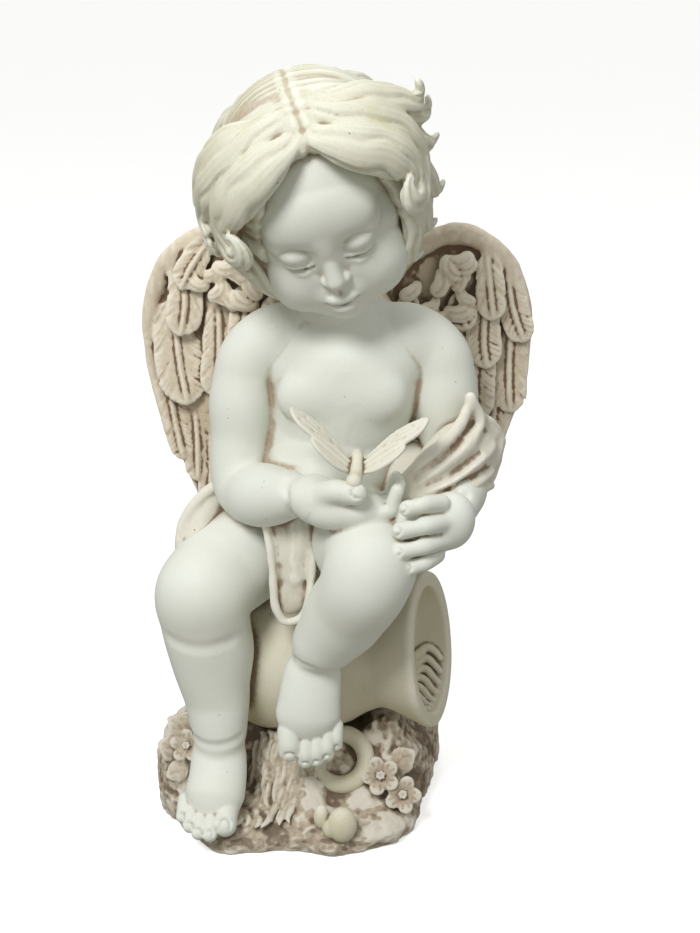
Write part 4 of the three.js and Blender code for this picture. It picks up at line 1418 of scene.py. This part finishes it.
def wash_and_shade_group():
    """Where a rubbed-in wash stays, in furrows and creases, and painted shade under shelter, broken up by
    noise.
    """
    tree, g, start, end = new_group(
        "hollow_wash_and_shade",
        [
            ("Furrow", "NodeSocketFloat", 0.3),
            ("Crease", "NodeSocketFloat", 0.8),
            ("Shelter_shade", "NodeSocketFloat", 3.0),
            ("Amount", "NodeSocketFloat", 1.0),
            ("Even", "NodeSocketFloat", 0.0),
            ("Full", "NodeSocketFloat", 1.3),
        ],
        [("Wash_and_shade", "NodeSocketFloat"), ("Edge", "NodeSocketFloat")],
    )
    place = g.node("ShaderNodeTexCoord").outputs["Object"]
    patch = g.noise(place, 38.0, 3.0)
    speck = g.noise(place, 420.0, 4.0, 0.65)
    patchy = g.sum("MULTIPLY", g.sum("SUBTRACT", patch, 0.5), 0.45)
    specks = g.sum("MULTIPLY", g.sum("SUBTRACT", speck, 0.5), 1.1)
    jitter = g.sum("ADD", patchy, specks)

    def hollow(value, depth):
        return g.sum("DIVIDE", g.sum("MULTIPLY", g.stored(value), -1.0), start.outputs[depth])

    # fine and mid find the furrows and creases where the wash stays; broad finds shelter, and the darkening
    # there is painted shade.
    fine, mid, broad = hollow("fine", "Furrow"), hollow("mid", "Crease"), hollow("broad", "Shelter_shade")
    total = g.sum("ADD", g.sum("ADD", g.ramp(fine, 0.1, 1.2), g.ramp(mid, 0.1, 1.3)), g.ramp(broad, 0.1, 1.4))
    total = g.sum("ADD", g.sum("MULTIPLY", total, g.sum("ADD", jitter, 0.85)), start.outputs["Even"])
    laid = g.ramp(total, 0.05, start.outputs["Full"])
    g.feed(end.inputs["Wash_and_shade"], g.sum("MULTIPLY", laid, start.outputs["Amount"], True))
    edge = g.ramp(g.sum("DIVIDE", g.stored("fine"), start.outputs["Furrow"]), 0.15, 1.4)
    g.feed(end.inputs["Edge"], edge)
    return tree


def grain_group():
    """The cast skin: fine grain, a few pits and a slow change of tone."""
    tree, g, start, end = new_group(
        "cast_grain",
        [("Grain", "NodeSocketFloat", 1.0), ("Pits", "NodeSocketFloat", 1.0)],
        [("Tone", "NodeSocketFloat"), ("Pit", "NodeSocketFloat"), ("Height", "NodeSocketFloat")],
    )
    place = g.node("ShaderNodeTexCoord").outputs["Object"]
    slow = g.noise(place, 14.0, 3.0)
    sandy = g.noise(place, 900.0, 3.0, 0.6)
    lumps = g.noise(place, 120.0, 3.0)
    cells = g.node("ShaderNodeTexVoronoi", {"Vector": place, "Scale": 190.0, "Randomness": 1.0})
    rare = g.noise(place, 60.0, 1.0)
    pit = g.sum("MULTIPLY", g.ramp(cells.outputs["Distance"], 0.12, 0.05), g.ramp(rare, 0.6, 0.68))
    pit = g.sum("MULTIPLY", pit, start.outputs["Pits"], True)
    g.feed(end.inputs["Pit"], pit)
    g.feed(end.inputs["Tone"], g.sum("ADD", g.sum("MULTIPLY", slow, 0.6), g.sum("MULTIPLY", sandy, 0.4)))
    height = g.sum("MULTIPLY", g.sum("ADD", g.sum("MULTIPLY", sandy, 0.35), lumps), start.outputs["Grain"])
    g.feed(end.inputs["Height"], g.sum("SUBTRACT", height, g.sum("MULTIPLY", pit, 1.5)))
    return tree


WASH_AND_SHADE = wash_and_shade_group()
GRAIN = grain_group()


def cast_stone(name, body, warm, wash_and_shade, edge=None, furrow=0.3, crease=0.8, shelter_shade=3.0, amount=0.9, even=0.0,
               full=1.3, edge_share=0.3, grain=1.0, pits=1.0, bump=0.25, roughness=0.72, extra=None):
    """Cast stone: a body colour that drifts to a warmer one, a dark wash in the hollows with painted shade
    where the surface is sheltered, paler edges.
    """
    material = bpy.data.materials.new(name)
    material.use_nodes = True
    tree = material.node_tree
    tree.nodes.clear()
    g = Graph(tree)
    wash_shade_and_wear = g.node("ShaderNodeGroup", node_tree=WASH_AND_SHADE)
    wash_shade_and_wear.inputs["Furrow"].default_value = furrow
    wash_shade_and_wear.inputs["Crease"].default_value = crease
    wash_shade_and_wear.inputs["Shelter_shade"].default_value = shelter_shade
    wash_shade_and_wear.inputs["Amount"].default_value = amount
    wash_shade_and_wear.inputs["Even"].default_value = even
    wash_shade_and_wear.inputs["Full"].default_value = full
    skin = g.node("ShaderNodeGroup", node_tree=GRAIN)
    skin.inputs["Grain"].default_value = grain
    skin.inputs["Pits"].default_value = pits
    colour = g.mix(g.ramp(skin.outputs["Tone"], 0.32, 0.68), body, warm)
    if extra is not None:
        colour = extra(g, colour)
    if edge is not None:
        colour = g.mix(g.sum("MULTIPLY", wash_shade_and_wear.outputs["Edge"], edge_share), colour, edge)
    # The dark colour: a wash in furrows and creases, and painted shade in sheltered places.
    colour = g.mix(wash_shade_and_wear.outputs["Wash_and_shade"], colour, wash_and_shade)
    colour = g.mix(g.sum("MULTIPLY", skin.outputs["Pit"], 0.8), colour, tint(70, 58, 44))
    height = {"Height": skin.outputs["Height"], "Strength": bump, "Distance": 0.0006}
    bumped = g.node("ShaderNodeBump", height)
    surface = {"Base Color": colour, "Roughness": roughness, "Normal": bumped.outputs[0]}
    shader = g.node("ShaderNodeBsdfPrincipled", surface)
    shader.inputs["Specular IOR Level"].default_value = 0.35
    out = tree.nodes.new("ShaderNodeOutputMaterial")
    tree.links.new(shader.outputs[0], out.inputs[0])
    return material


def streaks(colour_to, scale, stretch, low, high, share):
    """An extra layer of one colour in soft streaks."""

    def add(g, colour):
        place = g.node("ShaderNodeTexCoord").outputs["Object"]
        spread = g.noise(place, scale, 4.0, 0.6, stretch)
        return g.mix(g.sum("MULTIPLY", g.ramp(spread, low, high), share), colour, colour_to)

    return add


# Each finish: body colour, warmer colour, a dark colour and, for most, a paler edge colour. The dark colour
# is a wash in furrows and creases and painted shade in sheltered places, such as inside the jar's mouth.
MATERIALS = {
    "skin": cast_stone(
        "pale_cast_skin",
        tint(229, 232, 224),
        tint(223, 225, 213),
        tint(158, 136, 112),
        furrow=0.35, crease=2.2, shelter_shade=3.2, amount=0.85, full=1.6, pits=0.5, bump=0.12,
        roughness=0.6,
    ),
    "hair": cast_stone(
        "pale_cast_hair",
        tint(222, 222, 208),
        tint(210, 207, 184),
        tint(164, 140, 116),
        tint(238, 238, 228),
        furrow=0.3, crease=1.8, shelter_shade=6, amount=0.75, full=1.45, edge_share=0.6, pits=1.0,
        extra=streaks(tint(198, 196, 152), 60, (1, 1, 0.4), 0.52, 0.72, 0.5),
    ),
    "wing": cast_stone(
        "washed_shaded_cast_feathers",
        tint(222, 210, 189),
        tint(206, 189, 164),
        tint(106, 80, 57),
        tint(240, 233, 216),
        furrow=0.2, crease=1.3, shelter_shade=5, amount=0.9, full=0.72, edge_share=0.8, pits=0.6,
        even=0.12,
    ),
    "cloth": cast_stone(
        "washed_shaded_cast_cloth",
        tint(224, 221, 208),
        tint(214, 208, 192),
        tint(138, 112, 90),
        tint(238, 236, 226),
        furrow=0.3, crease=1.8, shelter_shade=3.4, amount=0.9, full=0.88, edge_share=0.6,
    ),
    "butterfly": cast_stone(
        "washed_shaded_cast_butterfly",
        tint(216, 214, 198),
        tint(202, 197, 174),
        tint(112, 94, 70),
        tint(236, 234, 222),
        furrow=0.16, crease=0.9, shelter_shade=4, amount=0.9, full=0.9, edge_share=0.6,
    ),
    "jar": cast_stone(
        "washed_shaded_cast_jar",
        tint(224, 220, 202),
        tint(212, 205, 178),
        tint(126, 106, 84),
        tint(234, 232, 220),
        furrow=0.3, crease=1.6, shelter_shade=4.0, amount=0.9, even=0.0, full=1.15, edge_share=0.6,
        extra=streaks(tint(206, 199, 148), 26, (1, 1, 1), 0.5, 0.72, 0.5),
    ),
    "ground": cast_stone(
        "washed_shaded_cast_rock",
        tint(204, 193, 173),
        tint(184, 169, 147),
        tint(100, 82, 64),
        tint(230, 225, 212),
        furrow=0.35, crease=1.5, shelter_shade=4.6, amount=0.85, even=0.36, full=1.8, edge_share=0.8,
        grain=1.6, bump=0.5, extra=streaks(tint(142, 124, 104), 320, (1, 1, 1), 0.42, 0.66, 0.55),
    ),
}


# ---------------------------------------------------------------- the statue

PARTS = [
    ("skin", skin_form, "skin", 196000),
    ("hair", hair_form, "hair", 190000),
    ("right_wing", lambda: wing_form(-1), "wing", 110000),
    ("left_wing", lambda: wing_form(1), "wing", 110000),
    ("drapery", drapery_form, "cloth", 120000),
    ("butterfly", butterfly_form, "butterfly", 30000),
    ("jar", jar_form, "jar", 60000),
    ("jar_handle", handle_form, "jar", 12000),
    ("rocky_base", ground_form, "ground", 160000),
    ("pebbles", pebbles_form, "jar", 6000),
]


def build():
    """Makes every form, then every piece with its finish."""
    forms = [make() for _, make, _, _ in PARTS]
    shared = union_blocks(forms)
    for (name, _, finish, budget), form in zip(PARTS, forms):
        made = piece(name, form, budget, shared)
        made.data.materials.clear()
        made.data.materials.append(MATERIALS[finish])


# ---------------------------------------------------------------- stage, light and camera


# Lengths in statue heights: name, place from the middle, disk size, and power at a height of 0.44 m.
LIGHTS = [
    ("key", (-1.2, -2.2, 2.6), 1.2, 66),
    ("fill", (2.6, -2.0, 1.0), 2.0, 5),
    ("top", (0.2, 0.6, 3.4), 1.6, 16),
]
LIGHT_SHARE = 0.25
FLOOR_REACH = 90
AIM_ACROSS, AIM_UP = 0.017, 0.4875
CAMERA_AWAY, CAMERA_TILT, LENS = 2.043, 19, 60.93


def lamp(name, at, aim, size, power):
    """A round lamp that points at a place."""
    data = bpy.data.lights.new(name, "AREA")
    data.shape = "DISK"
    data.size = size
    data.energy = power
    made = bpy.data.objects.new(name, data)
    made.location = at
    made.rotation_euler = (aim - at).to_track_quat("-Z", "Y").to_euler()
    bpy.context.scene.collection.objects.link(made)


def stage():
    """A pale floor, three lamps, a soft sky and the camera."""
    height = HIGH.z - LOW.z
    middle = (LOW + HIGH) / 2
    aim = middle.copy()
    aim.x += AIM_ACROSS * height
    aim.z = LOW.z + AIM_UP * height
    mesh = bpy.data.meshes.new("floor")
    wide = FLOOR_REACH * height
    corners = [(-wide, -wide, LOW.z), (wide, -wide, LOW.z), (wide, wide, LOW.z), (-wide, wide, LOW.z)]
    mesh.from_pydata([(x + middle.x, y + middle.y, z) for x, y, z in corners], [], [(0, 1, 2, 3)])
    floor = bpy.data.objects.new("floor", mesh)
    bpy.context.scene.collection.objects.link(floor)
    paper = bpy.data.materials.new("pale_paper")
    paper.use_nodes = True
    g = Graph(paper.node_tree)
    place = g.node("ShaderNodeTexCoord").outputs["Object"]
    tone = g.mix(g.noise(place, 6.0, 2.0), tint(250, 250, 250), tint(247, 247, 246))
    seen = g.node("ShaderNodeLightPath").outputs["Is Camera Ray"]
    shader = paper.node_tree.nodes["Principled BSDF"]
    g.feed(shader.inputs["Base Color"], g.mix(seen, tint(150, 148, 140), tone))
    g.feed(shader.inputs["Emission Color"], tone)
    g.feed(shader.inputs["Emission Strength"], g.sum("MULTIPLY", seen, 0.55))
    shader.inputs["Roughness"].default_value = 0.9
    mesh.materials.append(paper)
    world = bpy.data.worlds.new("studio")
    world.use_nodes = True
    world.node_tree.nodes["Background"].inputs[0].default_value = (1.0, 1.0, 0.975, 1)
    sky = Graph(world.node_tree)
    seen = sky.node("ShaderNodeLightPath").outputs["Is Camera Ray"]
    sky.feed(world.node_tree.nodes["Background"].inputs[1], sky.ramp(seen, 0, 1, 0.46, 1.0))
    bpy.context.scene.world = world
    for name, way, size, power in LIGHTS:
        at = middle + type(middle)(way) * height
        lamp(name, at, middle, size * height, power * (height / 0.44) ** 2 * LIGHT_SHARE)
    data = bpy.data.cameras.new("camera")
    data.sensor_width = 36
    data.lens = LENS
    camera = bpy.data.objects.new("camera", data)
    tilt = math.radians(CAMERA_TILT)
    camera.location = aim + type(aim)((0, -math.cos(tilt), math.sin(tilt))) * CAMERA_AWAY * height
    camera.rotation_euler = (math.radians(90 - CAMERA_TILT), 0, 0)
    bpy.context.scene.collection.objects.link(camera)
    bpy.context.scene.camera = camera
    bpy.context.scene.view_settings.view_transform = "Standard"


build()
stage()
